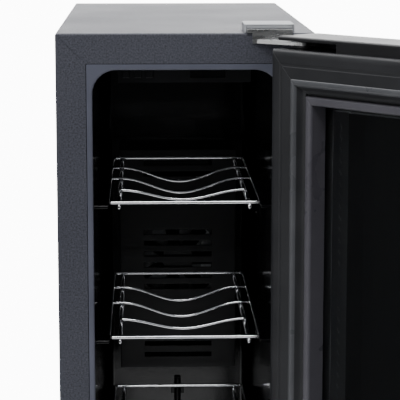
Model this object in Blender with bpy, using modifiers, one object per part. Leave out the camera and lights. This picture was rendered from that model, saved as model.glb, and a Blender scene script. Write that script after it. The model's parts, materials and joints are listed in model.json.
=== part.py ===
"""Slim six-bottle thermoelectric wine cooler with its glass door standing open.

Frame: metres, +Z up, front facing -Y. The origin is on the underside of the base pan,
midway between the cabinet's sides and midway between its front and back. The door's
pieces are placed as they lie when the door is closed, under an empty on the hinge line
that then turns the whole door open.
"""

import math

import bmesh
import bpy
from mathutils import Matrix

# ---- Driving dimensions ----
CLEAR = 0.0003                  # gap between pieces that touch
TUCK = 0.0001                   # keeps the faces of joined shapes out of one plane

BODY_WIDTH = 0.184
BODY_DEPTH = 0.380
BODY_HEIGHT = 0.656
SHEET = 0.0008                  # steel sheet of the wrapper, base pan and rear panel
BEND_RADIUS = 0.0015            # outside radius of the wrapper's folds
FLANGE_WIDTH = 0.0214           # steel face round the opening
FLANGE_CORNER = 0.001           # corners of the opening in the steel face

LINER_LIP = 0.0043              # plastic lip inside the steel face
LINER_WALL = 0.002
REAR_INSULATION = 0.035         # liner's back face to the cabinet's back
LINER_RADIUS = 0.017
LEDGE_HEIGHT = 0.0025
LEDGE_WIDTH = 0.0098            # from the liner's wall to the ledge's free edge
LEDGE_OVERHANG = 0.0025         # ledge past the shelf's bars, front and rear

SHELF_COUNT = 5
SHELF_DROP = 0.1283             # cabinet top to the first shelf's front bar
SHELF_LOWEST = 0.0917           # liner floor to the last shelf's bar
SHELF_SETBACK = 0.0457          # cabinet front to the front bar
SHELF_REAR_GAP = 0.0349         # rear bar to the fan cover
SHELF_WALL_GAP = 0.0076         # liner wall to the shelf's side rail
SHELF_CORNER = 0.003
WIRE = 0.003                    # diameter of the shelf's frame wire
ROD = 0.004                     # diameter of the two rods under the frame
ROD_INSET = 0.0083              # each rod in from its side rail
CROSS_WIRE = 0.0026
CRADLE_DIPS = (0.0075, 0.0115, 0.0115)
CRADLE_POINTS = 10

DOOR_THICKNESS = 0.040
DOOR_GAP = 0.008                # cabinet front to the door's inner plane
DOOR_FOOT = 0.006               # door's lower edge above the base pan
DOOR_BEVEL = 0.002
DOOR_OPEN_DEG = 130.0
PIVOT_FROM_SIDE = 0.011
PIVOT_FROM_INNER = 0.015        # hinge line behind the door's inner plane
GASKET_SIDE_INSET = 0.001       # gasket edge from the door's side edges
GASKET_END_INSET = 0.0088       # gasket edge from the door's top and bottom
GASKET_WIDTH = 0.029
GASKET_HEIGHT = 0.0075
MAGNET_WIDTH = 0.0074
MAGNET_HEIGHT = 0.0042
MAGNET_INSET = 0.0083
BEAD_INSET = 0.0305             # bead's outer edge from the gasket's edge
BEAD_WIDTH = 0.006
BEAD_PROUD = 0.004
PANE = 0.004
AIR_GAP = 0.016                 # between the panes
SPACER_INSET = 0.041            # spacer's inner face from the gasket's edge
DOOR_LIP = 0.0047               # frame in front of the outer pane
PULL_LENGTH = 0.200
PULL_WIDTH = 0.018
PULL_DEPTH = 0.012
PULL_HEIGHT = 0.330             # middle of the finger pull above the base pan

PIN_RADIUS = 0.003
BUSH_WALL = 0.003
BUSH_LENGTH = 0.0145
BUSH_COLLAR = 0.008
BUSH_COLLAR_HEIGHT = 0.0014
ARM_RADIUS = 0.006
ARM_THICKNESS = 0.0025
ARM_DROP = 0.0045               # arm's upper face below the cabinet's top
ARM_ROOT_RIGHT = 0.017          # arm's root from the cabinet's hinge side
ARM_ROOT_WIDTH = 0.028
SLOT_HEIGHT = 0.006
SLOT_LENGTH = 0.045
SLOT_FRONT = 0.012
PLATE_WIDTH = 0.032
PLATE_DEPTH = 0.035
PLATE_THICKNESS = 0.0025
RISER_THICKNESS = 0.0027
COVER_WALL = 0.0015
SCREW_SHANK = 0.0018
SCREW_HEAD = 0.0034
SCREW_HEAD_HEIGHT = 0.0013
SCREW_LENGTH = 0.008
SCREW_SPACING = 0.014

FOOT_HEIGHT = 0.014
FOOT_RADIUS = 0.014
FOOT_STEM = 0.004
FOOT_STEM_LENGTH = 0.011
FOOT_INSET = 0.022              # foot's axis from the cabinet's sides
FRONT_FOOT_SETBACK = 0.060
REAR_FOOT_SETBACK = 0.030

MODULE_DROP = 0.226             # cabinet top to the cooling module's middle
BLOCK_SIDE = 0.040
PELTIER_THICKNESS = 0.0038
COLD_BASE = 0.006
COLD_FIN = 0.014
HOT_BASE = 0.006
HOT_FIN = 0.025
FIN_THICKNESS = 0.0014
FIN_COUNT = 9
INNER_FAN_DEPTH = 0.010
OUTER_FAN_DEPTH = 0.015
INNER_FAN_INSET = 0.005         # fan frame's edge in from the cold sink's
OUTER_FAN_INSET = 0.004         # fan frame's edge in from the hot sink's
FAN_WALL = 0.003                # frame wall at its thinnest, beside the bore
FAN_SPIDER = 0.0015
FAN_TIP_GAP = 0.0015
FAN_HUB = 0.014
BLADES = 7
COVER_WALL_GAP = 0.014          # liner wall to the fan cover
COVER_LENGTH = 0.200
COVER_SHELL = 0.002
COVER_SINK_GAP = 0.005          # cover's inside to the cold sink

HOUSING_SIDE_GAP = 0.017        # cabinet side to the rear housing
HOUSING_LOW = 0.060
HOUSING_DROP = 0.096            # cabinet top to the housing's top
HOUSING_DEPTH = 0.070
HOUSING_WALL = 0.002
HOUSING_SCREW_INSET = 0.006
HOUSING_SINK_GAP = 0.023        # housing's inside to the hot sink
HOUSING_BOARD_GAP = 0.018       # housing's inside to the power board
VENT_WIDTH = 0.004
VENT_PITCH = 0.010
BOARD = 0.0016
BOARD_STANDOFF = 0.008
POWER_BOARD_LENGTH = 0.120
POWER_BOARD_HEIGHT = 0.210      # board's middle above the base pan
INLET_HEIGHT = 0.100
INLET_WIDTH = 0.027
INLET_TALL = 0.0196
INLET_WALL = 0.0018
INLET_FLANGE = 0.002
INLET_RIM = 0.004
INLET_DEPTH = 0.016
BLADE_THICKNESS = 0.002
BLADE_TALL = 0.004
BLADE_SPACING = 0.007

CONTROL_SIDE_GAP = 0.0005       # end of the liner's corner curve to the control housing
CONTROL_DEPTH = 0.065
CONTROL_HEIGHT = 0.0124
CONTROL_SETBACK = 0.040
CONTROL_WALL = 0.0015
BUTTON_SIDE = 0.005
BUTTON_PITCH = 0.0085
BUTTON_INSET = 0.006            # first button's middle from the housing's end
BUTTON_PROUD = 0.001
BUTTON_RIM = 0.001
WINDOW_MIDDLE = 0.017
WINDOW_WIDTH = 0.026
WINDOW_TALL = 0.006
WINDOW_OVERLAP = 0.001
LENS_WIDTH = 0.040
LENS_DEPTH = 0.018
PROBE_RADIUS = 0.003
PROBE_LENGTH = 0.024
PROBE_DROP = 0.030              # probe's middle below the fan cover

# ---- Places worked out from them ----
HALF = BODY_WIDTH / 2
FRONT = -BODY_DEPTH / 2
BACK = BODY_DEPTH / 2
INSIDE = HALF - SHEET - CLEAR                           # half width of what the wrapper holds
FLANGE_EDGE = HALF - FLANGE_WIDTH
OPENING_HALF = FLANGE_EDGE - CLEAR - LINER_LIP
OPENING_TOP = BODY_HEIGHT - FLANGE_WIDTH - CLEAR - LINER_LIP
OPENING_LOW = FLANGE_WIDTH + CLEAR + LINER_LIP
LINER_BACK = BACK - REAR_INSULATION

DOOR_INNER = FRONT - DOOR_GAP
DOOR_OUTER = DOOR_INNER - DOOR_THICKNESS
PIVOT_X = HALF - PIVOT_FROM_SIDE
PIVOT_Y = DOOR_INNER - PIVOT_FROM_INNER
ARM_TOP = BODY_HEIGHT - ARM_DROP
ARM_LOW = ARM_TOP - ARM_THICKNESS
SLOT_LOW = ARM_LOW - CLEAR - BUSH_COLLAR_HEIGHT - CLEAR
COVER_TOP = BODY_HEIGHT + PLATE_THICKNESS + SCREW_HEAD_HEIGHT + COVER_WALL + 3 * CLEAR

MODULE_HEIGHT = BODY_HEIGHT - MODULE_DROP
COVER_HALF = OPENING_HALF - COVER_WALL_GAP
COLD_SIDE = 2 * (COVER_HALF - COVER_SHELL - COVER_SINK_GAP)
INNER_FAN_SIDE = COLD_SIDE - 2 * INNER_FAN_INSET
HOUSING_HALF = HALF - HOUSING_SIDE_GAP
HOUSING_TOP = BODY_HEIGHT - HOUSING_DROP
HOT_SIDE = 2 * (HOUSING_HALF - HOUSING_WALL - HOUSING_SINK_GAP)
OUTER_FAN_SIDE = HOT_SIDE - 2 * OUTER_FAN_INSET
COLD_BACK = LINER_BACK - CLEAR
HOT_FRONT = BACK + CLEAR
PELTIER_BACK = HOT_FRONT - CLEAR
BLOCK_BACK = PELTIER_BACK - PELTIER_THICKNESS - CLEAR
INNER_FAN_BACK = COLD_BACK - COLD_BASE - COLD_FIN - CLEAR
COVER_FRONT = INNER_FAN_BACK - INNER_FAN_DEPTH - CLEAR - COVER_SHELL
OUTER_FAN_FRONT = HOT_FRONT + HOT_BASE + HOT_FIN + CLEAR
HOUSING_BACK = HOT_FRONT + HOUSING_DEPTH

SHELF_HALF = OPENING_HALF - SHELF_WALL_GAP - WIRE / 2   # side rail's centre
SHELF_FRONT = FRONT + SHELF_SETBACK
SHELF_DEPTH = COVER_FRONT - SHELF_REAR_GAP - WIRE / 2 - SHELF_FRONT
SHELF_TOP = BODY_HEIGHT - SHELF_DROP
SHELF_PITCH = (SHELF_TOP - OPENING_LOW - SHELF_LOWEST) / (SHELF_COUNT - 1)
ROD_OFFSET = SHELF_HALF - ROD_INSET

CONTROL_FRONT = FRONT + CONTROL_SETBACK
CONTROL_TOP = OPENING_TOP - CLEAR
CONTROL_LOW = CONTROL_TOP - CONTROL_HEIGHT
CONTROL_MIDDLE = CONTROL_LOW + CONTROL_HEIGHT / 2
CONTROL_HALF = OPENING_HALF - LINER_RADIUS - CONTROL_SIDE_GAP

ROUND = 20                      # sides of a small cylinder
CORNER_STEPS = 4                # steps in a quarter of a rounded corner


# ---- Scene and modelling helpers ----
def clear_scene():
    for obj in list(bpy.data.objects):
        bpy.data.objects.remove(obj, do_unlink=True)


def new_collection(name):
    collection = bpy.data.collections.new(name)
    bpy.context.scene.collection.children.link(collection)
    return collection


def material(name, colour, roughness, metallic=0.0):
    made = bpy.data.materials.new(name)
    made.use_nodes = True
    shader = made.node_tree.nodes["Principled BSDF"]
    shader.inputs["Base Color"].default_value = (*colour, 1.0)
    shader.inputs["Roughness"].default_value = roughness
    shader.inputs["Metallic"].default_value = metallic
    return made


def place(name, mesh, location=(0, 0, 0), look=None, parent=None):
    """An object that becomes a part, or a helper where it has no look."""
    obj = bpy.data.objects.new(name, mesh)
    obj.location = location
    obj.parent = parent
    if look is None:
        HELPERS.objects.link(obj)
        obj.hide_render = True
        obj.display_type = "WIRE"
    else:
        PARTS.objects.link(obj)
        obj.data.materials.append(look)
    return obj


def finish(name, bm):
    mesh = bpy.data.meshes.new(name)
    bm.to_mesh(mesh)
    bm.free()
    return mesh


def block(name, low, high, look=None, parent=None):
    """A box from its two opposite corners, with its origin in its middle."""
    size = [b - a for a, b in zip(low, high)]
    bm = bmesh.new()
    bmesh.ops.create_cube(bm, size=1.0)
    bmesh.ops.scale(bm, vec=size, verts=bm.verts)
    middle = [(a + b) / 2 for a, b in zip(low, high)]
    return place(name, finish(name, bm), middle, look, parent)


def cylinder(name, centre, radius, low, high, axis="Z", look=None, parent=None, sides=ROUND):
    """A cylinder about a line through centre along an axis, from low to high on that axis."""
    bm = bmesh.new()
    bmesh.ops.create_cone(
        bm, cap_ends=True, segments=sides, radius1=radius, radius2=radius, depth=high - low
    )
    location = list(centre)
    if axis == "Y":
        bmesh.ops.rotate(bm, matrix=Matrix.Rotation(math.pi / 2, 3, "X"), verts=bm.verts)
    location["XYZ".index(axis)] = (low + high) / 2
    return place(name, finish(name, bm), location, look, parent)


def mesh_of_curve(curve):
    """The curve object's solid as a mesh in world space, with its caps welded."""
    bpy.context.view_layer.update()
    graph = bpy.context.evaluated_depsgraph_get()
    mesh = bpy.data.meshes.new_from_object(curve.evaluated_get(graph))
    mesh.transform(curve.matrix_world)
    bm = bmesh.new()
    bm.from_mesh(mesh)
    bmesh.ops.remove_doubles(bm, verts=bm.verts, dist=0.000001)
    bmesh.ops.recalc_face_normals(bm, faces=bm.faces)
    bm.to_mesh(mesh)
    bm.free()
    bpy.data.objects.remove(curve, do_unlink=True)
    return mesh


def curve_object(points, cyclic, dimensions):
    data = bpy.data.curves.new("outline", "CURVE")
    data.dimensions = dimensions
    spline = data.splines.new("POLY")
    spline.points.add(len(points) - 1)
    for point, (x, y, z) in zip(spline.points, points):
        point.co = (x, y, z, 1)
    spline.use_cyclic_u = cyclic
    obj = bpy.data.objects.new("outline", data)
    HELPERS.objects.link(obj)
    return obj


def slab(name, outline, low, high, axis, look=None, parent=None):
    """A flat outline given thickness: in X and Y along Z, or in X and Z along Y."""
    obj = curve_object([(a, b, 0) for a, b in outline], True, "2D")
    obj.data.fill_mode = "BOTH"
    obj.data.extrude = (high - low) / 2
    if axis == "Y":
        obj.rotation_euler.x = math.pi / 2
        obj.location.y = (low + high) / 2
    else:
        obj.location.z = (low + high) / 2
    return place(name, mesh_of_curve(obj), (0, 0, 0), look, parent)


def wire(name, points, diameter, cyclic=False):
    """A round wire through the points, as a helper that another wire is joined to."""
    obj = curve_object(points, cyclic, "3D")
    obj.data.bevel_depth = diameter / 2
    obj.data.bevel_resolution = 2
    obj.data.use_fill_caps = not cyclic
    return place(name, mesh_of_curve(obj))


def rounded_rectangle(half, low, high, radius, steps=CORNER_STEPS, middle=0.0):
    """Corners of a rectangle across X, from low to high, with rounded corners."""
    corners = (
        (half - radius, high - radius, 0),
        (radius - half, high - radius, 90),
        (radius - half, low + radius, 180),
        (half - radius, low + radius, 270),
    )
    points = []
    for x, y, start in corners:
        for step in range(steps + 1):
            angle = math.radians(start + 90 * step / steps)
            points.append((middle + x + radius * math.cos(angle), y + radius * math.sin(angle)))
    return points


def mitred_ring(name, section, half, low, high, look=None, parent=None):
    """A section carried round a rectangle in X and Z with mitred corners.

    Each point of the section is its inset from the rectangle and its place along Y.
    """
    bm = bmesh.new()
    rings = []
    for inset, y in section:
        x = half - inset
        bottom = low + inset
        top = high - inset
        corners = ((x, bottom), (x, top), (-x, top), (-x, bottom))
        rings.append([bm.verts.new((a, y, b)) for a, b in corners])
    for k, ring in enumerate(rings):
        other = rings[(k + 1) % len(rings)]
        for c in range(4):
            d = (c + 1) % 4
            bm.faces.new((ring[c], ring[d], other[d], other[c]))
    bmesh.ops.recalc_face_normals(bm, faces=bm.faces)
    return place(name, finish(name, bm), (0, 0, 0), look, parent)


def combine(obj, other, operation):
    modifier = obj.modifiers.new(operation.title(), "BOOLEAN")
    modifier.operation = operation
    modifier.object = other
    modifier.solver = "EXACT"


def cut(obj, *cutters):
    for cutter in cutters:
        combine(obj, cutter, "DIFFERENCE")


def join(obj, *others):
    for other in others:
        combine(obj, other, "UNION")


def repeat(obj, count, step):
    """Copies of a helper along a constant step, starting with itself."""
    modifier = obj.modifiers.new("Repeat", "ARRAY")
    modifier.count = count
    modifier.use_relative_offset = False
    modifier.use_constant_offset = True
    modifier.constant_offset_displace = step
    return obj


def smooth(obj):
    obj.data.shade_smooth()
    obj.data.set_sharp_from_angle(angle=math.radians(35))


clear_scene()
PARTS = new_collection("Wine cooler")
HELPERS = new_collection("Cutters and joined shapes")

STEEL_PAINT = material("Powder-coated steel", (0.055, 0.057, 0.075), 0.45, 0.2)
ZINC_STEEL = material("Zinc-plated steel", (0.55, 0.55, 0.55), 0.35, 0.9)
BLACK_PLASTIC = material("Black plastic", (0.012, 0.012, 0.014), 0.35)
LINER_PLASTIC = material("Glossy black liner", (0.008, 0.008, 0.010), 0.12)
FOAM = material("Insulating foam", (0.80, 0.72, 0.48), 0.9)
CHROME = material("Chromed wire", (0.80, 0.80, 0.82), 0.12, 1.0)
RUBBER = material("Gasket rubber", (0.022, 0.023, 0.026), 0.55)
MAGNET = material("Bonded magnet", (0.05, 0.04, 0.035), 0.7)
GLASS = material("Tinted glass", (0.010, 0.010, 0.012), 0.03)
SPACER = material("Glazing spacer", (0.30, 0.31, 0.33), 0.45, 0.6)
ALUMINIUM = material("Aluminium", (0.70, 0.71, 0.72), 0.35, 1.0)
CERAMIC = material("Ceramic", (0.86, 0.85, 0.80), 0.6)
CIRCUIT = material("Circuit board", (0.02, 0.16, 0.07), 0.5)
HINGE_COVER = material("Grey hinge cover", (0.42, 0.43, 0.45), 0.5)
LENS = material("Lamp lens", (0.75, 0.77, 0.80), 0.25)
NYLON = material("Nylon bush", (0.025, 0.025, 0.028), 0.5)


# ---- Cabinet ----
def cabinet_wrapper():
    bm = bmesh.new()
    bmesh.ops.create_cube(bm, size=1.0)
    bmesh.ops.scale(bm, vec=(BODY_WIDTH, BODY_DEPTH, BODY_HEIGHT), verts=bm.verts)
    front_and_top = [
        edge
        for edge in bm.edges
        if all(v.co.y < 0 for v in edge.verts) and any(v.co.z > 0 for v in edge.verts)
        or all(v.co.z > 0 for v in edge.verts) and edge.verts[0].co.x == edge.verts[1].co.x
    ]
    bmesh.ops.bevel(
        bm, geom=front_and_top, offset=BEND_RADIUS, segments=2, profile=0.5, affect="EDGES"
    )
    middle = (0, 0, BODY_HEIGHT / 2)
    shell = place("cabinet_wrapper", finish("cabinet_wrapper", bm), middle, STEEL_PAINT)
    hollow = block(
        "wrapper_hollow",
        (SHEET - HALF, FRONT + SHEET, -SHEET),
        (HALF - SHEET, BACK + SHEET, BODY_HEIGHT - SHEET),
    )
    outline = rounded_rectangle(
        FLANGE_EDGE, -FLANGE_WIDTH, BODY_HEIGHT - FLANGE_WIDTH, FLANGE_CORNER, 2
    )
    opening = slab("wrapper_opening", outline, FRONT - SHEET, FRONT + 2 * SHEET, "Y")
    cut(shell, hollow, opening)
    for hole in hinge_screw_holes(BODY_HEIGHT):
        cut(shell, hole)


def base_pan():
    pan = block(
        "base_pan",
        (-INSIDE, FRONT + SHEET + CLEAR, 0),
        (INSIDE, BACK, SHEET),
        STEEL_PAINT,
    )
    apron_half = FLANGE_EDGE - CLEAR
    apron = block(
        "apron",
        (-apron_half, FRONT, 0),
        (apron_half, FRONT + SHEET, FLANGE_WIDTH),
    )
    fold = block("apron_fold", (-apron_half, FRONT, 0), (apron_half, FRONT + 3 * SHEET, SHEET))
    join(pan, fold, apron)
    for x, y in foot_places():
        hole = FOOT_STEM + CLEAR
        cut(pan, cylinder("foot_hole", (x, y, 0), hole, -SHEET, 2 * SHEET))
    for hole in hinge_screw_holes(0):
        cut(pan, hole)


def rear_panel():
    panel = block(
        "rear_panel",
        (-INSIDE, BACK - SHEET, SHEET + CLEAR),
        (INSIDE, BACK, BODY_HEIGHT - SHEET - CLEAR),
        ZINC_STEEL,
    )
    half = BLOCK_SIDE / 2 + CLEAR
    window = block(
        "module_window",
        (-half, BACK - 2 * SHEET, MODULE_HEIGHT - half),
        (half, BACK + SHEET, MODULE_HEIGHT + half),
    )
    cut(panel, window)
    for x, z in housing_screw_places():
        hole = SCREW_SHANK + CLEAR
        cut(panel, cylinder("hole", (x, 0, z), hole, BACK - 2 * SHEET, BACK + SHEET, "Y"))


def tub(name, grow, front, back):
    """The liner's hollow, made larger all round by grow."""
    outline = rounded_rectangle(
        OPENING_HALF + grow, OPENING_LOW - grow, OPENING_TOP + grow, LINER_RADIUS + grow
    )
    return slab(name, outline, front, back, "Y")


def inner_liner():
    lip_edge = FLANGE_EDGE - CLEAR
    outline = rounded_rectangle(
        lip_edge,
        FLANGE_WIDTH + CLEAR,
        BODY_HEIGHT - FLANGE_WIDTH - CLEAR,
        FLANGE_CORNER - CLEAR,
        2,
    )
    liner = slab("inner_liner", outline, FRONT, FRONT + SHEET, "Y", LINER_PLASTIC)
    join(liner, tub("liner_walls", LINER_WALL, FRONT + SHEET / 2, LINER_BACK + LINER_WALL))
    cut(liner, tub("liner_hollow", 0, FRONT - SHEET, LINER_BACK))
    half = BLOCK_SIDE / 2 + CLEAR
    window = block(
        "block_window",
        (-half, LINER_BACK - LINER_WALL, MODULE_HEIGHT - half),
        (half, LINER_BACK + 2 * LINER_WALL, MODULE_HEIGHT + half),
    )
    cut(liner, window)
    ledge_front = SHELF_FRONT - LEDGE_OVERHANG
    ledge_back = SHELF_FRONT + SHELF_DEPTH + LEDGE_OVERHANG
    for height in shelf_heights():
        top = height - WIRE / 2 - CLEAR
        for side in (-1, 1):
            edges = sorted(
                (side * (OPENING_HALF - LEDGE_WIDTH), side * (OPENING_HALF + LINER_WALL / 2))
            )
            ledge = block(
                "ledge",
                (edges[0], ledge_front, top - LEDGE_HEIGHT),
                (edges[1], ledge_back, top),
            )
            join(liner, ledge)


def foam_insulation():
    foam = block(
        "foam_insulation",
        (-INSIDE, FRONT + SHEET + CLEAR, SHEET + CLEAR),
        (INSIDE, BACK - SHEET - CLEAR, BODY_HEIGHT - SHEET - CLEAR),
        FOAM,
    )
    cut(foam, tub("foam_hollow", LINER_WALL + CLEAR, FRONT, LINER_BACK + LINER_WALL + CLEAR))
    half = BLOCK_SIDE / 2 + CLEAR
    tunnel = block(
        "block_tunnel",
        (-half, LINER_BACK, MODULE_HEIGHT - half),
        (half, BACK, MODULE_HEIGHT + half),
    )
    cut(foam, tunnel)
    for x, y in foot_places():
        reach = FOOT_STEM_LENGTH + CLEAR
        cut(foam, cylinder("foot_well", (x, y, 0), FOOT_STEM + CLEAR, 0, reach))
    for level in (0, BODY_HEIGHT):
        for hole in hinge_screw_holes(level):
            cut(foam, hole)
    for x, z in housing_screw_places():
        hole = SCREW_SHANK + CLEAR
        low = BACK - SCREW_LENGTH - CLEAR
        cut(foam, cylinder("well", (x, 0, z), hole, low, BACK, "Y"))


def foot_places():
    x = HALF - FOOT_INSET
    front = FRONT + FRONT_FOOT_SETBACK
    rear = BACK - REAR_FOOT_SETBACK
    return ((-x, front), (x, front), (-x, rear), (x, rear))


def feet():
    names = ("foot_front_left", "foot_front_right", "foot_rear_left", "foot_rear_right")
    for name, (x, y) in zip(names, foot_places()):
        foot = cylinder(
            name, (x, y, 0), FOOT_RADIUS, -FOOT_HEIGHT, -CLEAR, look=BLACK_PLASTIC, sides=28
        )
        stem = cylinder(
            "foot_stem", (x, y, 0), FOOT_STEM, -FOOT_HEIGHT / 2, FOOT_STEM_LENGTH
        )
        join(foot, stem)


# ---- Shelves ----
def shelf_heights():
    return [SHELF_TOP - SHELF_PITCH * k for k in range(SHELF_COUNT)]


def cradle(dip, y, over_rails):
    """Points of one cross wire: level over the rods, dipping between them."""
    points = []
    for step in range(CRADLE_POINTS + 1):
        x = ROD_OFFSET * (2 * step / CRADLE_POINTS - 1)
        z = -dip * (1 + math.cos(math.pi * x / ROD_OFFSET)) / 2
        points.append((x, y, z))
    if over_rails:
        return [(-SHELF_HALF, y, 0), *points, (SHELF_HALF, y, 0)]
    rod_level = -(WIRE + ROD) / 2
    return [(-ROD_OFFSET, y, rod_level), *points, (ROD_OFFSET, y, rod_level)]


def shelf_mesh():
    """One wire shelf about the middle of its front bar, at the bar's height."""
    outline = rounded_rectangle(SHELF_HALF, 0, SHELF_DEPTH, SHELF_CORNER, 3)
    frame = wire("shelf_frame", [(x, y, 0) for x, y in outline], WIRE, cyclic=True)
    rod_level = 0.0002 - (WIRE + ROD) / 2
    for side in (-1, 1):
        x = side * ROD_OFFSET
        ends = ((x, -WIRE / 2, rod_level), (x, SHELF_DEPTH + WIRE / 2, rod_level))
        join(frame, wire("shelf_rod", ends, ROD))
    spacing = SHELF_DEPTH / (len(CRADLE_DIPS) + 1)
    for k, dip in enumerate(CRADLE_DIPS):
        points = cradle(dip, spacing * (k + 1), k > 0)
        join(frame, wire("shelf_cross_wire", points, CROSS_WIRE))
    bpy.context.view_layer.update()
    graph = bpy.context.evaluated_depsgraph_get()
    return bpy.data.meshes.new_from_object(frame.evaluated_get(graph))


def shelves():
    mesh = shelf_mesh()
    for k, height in enumerate(shelf_heights()):
        shelf = place(f"shelf_{k + 1}", mesh, (0, SHELF_FRONT, height))
        HELPERS.objects.unlink(shelf)
        PARTS.objects.link(shelf)
        shelf.hide_render = False
        shelf.display_type = "TEXTURED"
    mesh.materials.clear()
    mesh.materials.append(CHROME)


# ---- Hinges ----
def hinge_screw_places():
    middle = HALF - ARM_ROOT_RIGHT - PLATE_WIDTH / 2
    y = FRONT + PLATE_DEPTH / 2
    return ((middle - SCREW_SPACING / 2, y), (middle + SCREW_SPACING / 2, y))


def hinge_screw_holes(level):
    """Cutters for a hinge's screws, through the sheet whose outer face is at level."""
    reach = SCREW_LENGTH + 2 * CLEAR
    return [
        cylinder("screw_hole", (x, y, 0), SCREW_SHANK + CLEAR, level - reach, level + reach)
        for x, y in hinge_screw_places()
    ]


def arm_outline(root_y):
    """The arm's outline, from its root to a round end about the pin."""
    right = HALF - ARM_ROOT_RIGHT
    left = right - ARM_ROOT_WIDTH
    points = [(right, root_y), (left, root_y)]
    for step in range(9):
        angle = math.radians(200 + 180 * step / 8)
        x = PIVOT_X + ARM_RADIUS * math.cos(angle)
        points.append((x, PIVOT_Y + ARM_RADIUS * math.sin(angle)))
    return points


def screw(name, x, y, seat, up):
    """A pan-head screw whose head stands on seat; up is 1 where the head is on top."""
    head = sorted((seat, seat + up * SCREW_HEAD_HEIGHT))
    shank = sorted((seat + up * SCREW_HEAD_HEIGHT / 2, seat - up * SCREW_LENGTH))
    made = cylinder(name, (x, y, 0), SCREW_HEAD, *head, look=ZINC_STEEL)
    join(made, cylinder("shank", (x, y, 0), SCREW_SHANK, *shank, sides=12))


def top_hinge():
    right = HALF - ARM_ROOT_RIGHT
    left = right - PLATE_WIDTH
    plate_low = BODY_HEIGHT + CLEAR
    plate_top = plate_low + PLATE_THICKNESS
    riser_back = FRONT - CLEAR
    riser_front = riser_back - RISER_THICKNESS
    bracket = block(
        "hinge_top_bracket",
        (left, riser_front, plate_low),
        (right, FRONT + PLATE_DEPTH, plate_top),
        ZINC_STEEL,
    )
    riser = block(
        "riser",
        (right - ARM_ROOT_WIDTH, riser_front, ARM_LOW),
        (right, riser_back, plate_top),
    )
    arm = slab("arm", arm_outline(riser_back), ARM_LOW, ARM_TOP, "Z")
    pin = cylinder(
        "pin", (PIVOT_X, PIVOT_Y, 0), PIN_RADIUS, SLOT_LOW - BUSH_LENGTH + CLEAR, ARM_TOP - CLEAR
    )
    join(bracket, riser, arm, pin)
    for hole in hinge_screw_holes(plate_top):
        cut(bracket, hole)
    for k, (x, y) in enumerate(hinge_screw_places()):
        screw(f"hinge_top_screw_{k + 1}", x, y, plate_top + CLEAR, 1)

    room = COVER_WALL + CLEAR
    cover = block(
        "hinge_top_cover",
        (left - room, FRONT + CLEAR, plate_low),
        (right + room, FRONT + PLATE_DEPTH + room, COVER_TOP),
        HINGE_COVER,
    )
    hollow = block(
        "cover_hollow",
        (left - CLEAR, riser_front, plate_low - CLEAR),
        (right + CLEAR, FRONT + PLATE_DEPTH + CLEAR, COVER_TOP - COVER_WALL),
    )
    cut(cover, hollow)


def bottom_hinge():
    right = HALF - ARM_ROOT_RIGHT
    top = -CLEAR
    low = top - PLATE_THICKNESS
    bracket = block(
        "hinge_bottom_bracket",
        (right - PLATE_WIDTH, FRONT, low),
        (right, FRONT + PLATE_DEPTH, top),
        ZINC_STEEL,
    )
    arm = slab("lower_arm", arm_outline(FRONT + SHEET), low, top, "Z")
    pin = cylinder(
        "lower_pin",
        (PIVOT_X, PIVOT_Y, 0),
        PIN_RADIUS,
        low + CLEAR,
        DOOR_FOOT + BUSH_LENGTH - CLEAR,
    )
    join(bracket, arm, pin)
    for hole in hinge_screw_holes(0):
        cut(bracket, hole)
    for k, (x, y) in enumerate(hinge_screw_places()):
        screw(f"hinge_bottom_screw_{k + 1}", x, y, low - CLEAR, -1)


# ---- Door, placed as when closed and seen from the hinge line ----
def bush(name, low, high, collar_low, collar_high, parent):
    radius = PIN_RADIUS + CLEAR + BUSH_WALL
    made = cylinder(name, (0, 0, 0), radius, low, high, look=NYLON, parent=parent)
    collar = cylinder(
        "bush_collar", (0, 0, 0), BUSH_COLLAR, collar_low, collar_high, parent=parent
    )
    bore = cylinder(
        "bush_bore",
        (0, 0, 0),
        PIN_RADIUS + CLEAR,
        min(low, collar_low) - SHEET,
        max(high, collar_high) + SHEET,
        parent=parent,
    )
    join(made, collar)
    cut(made, bore)


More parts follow.
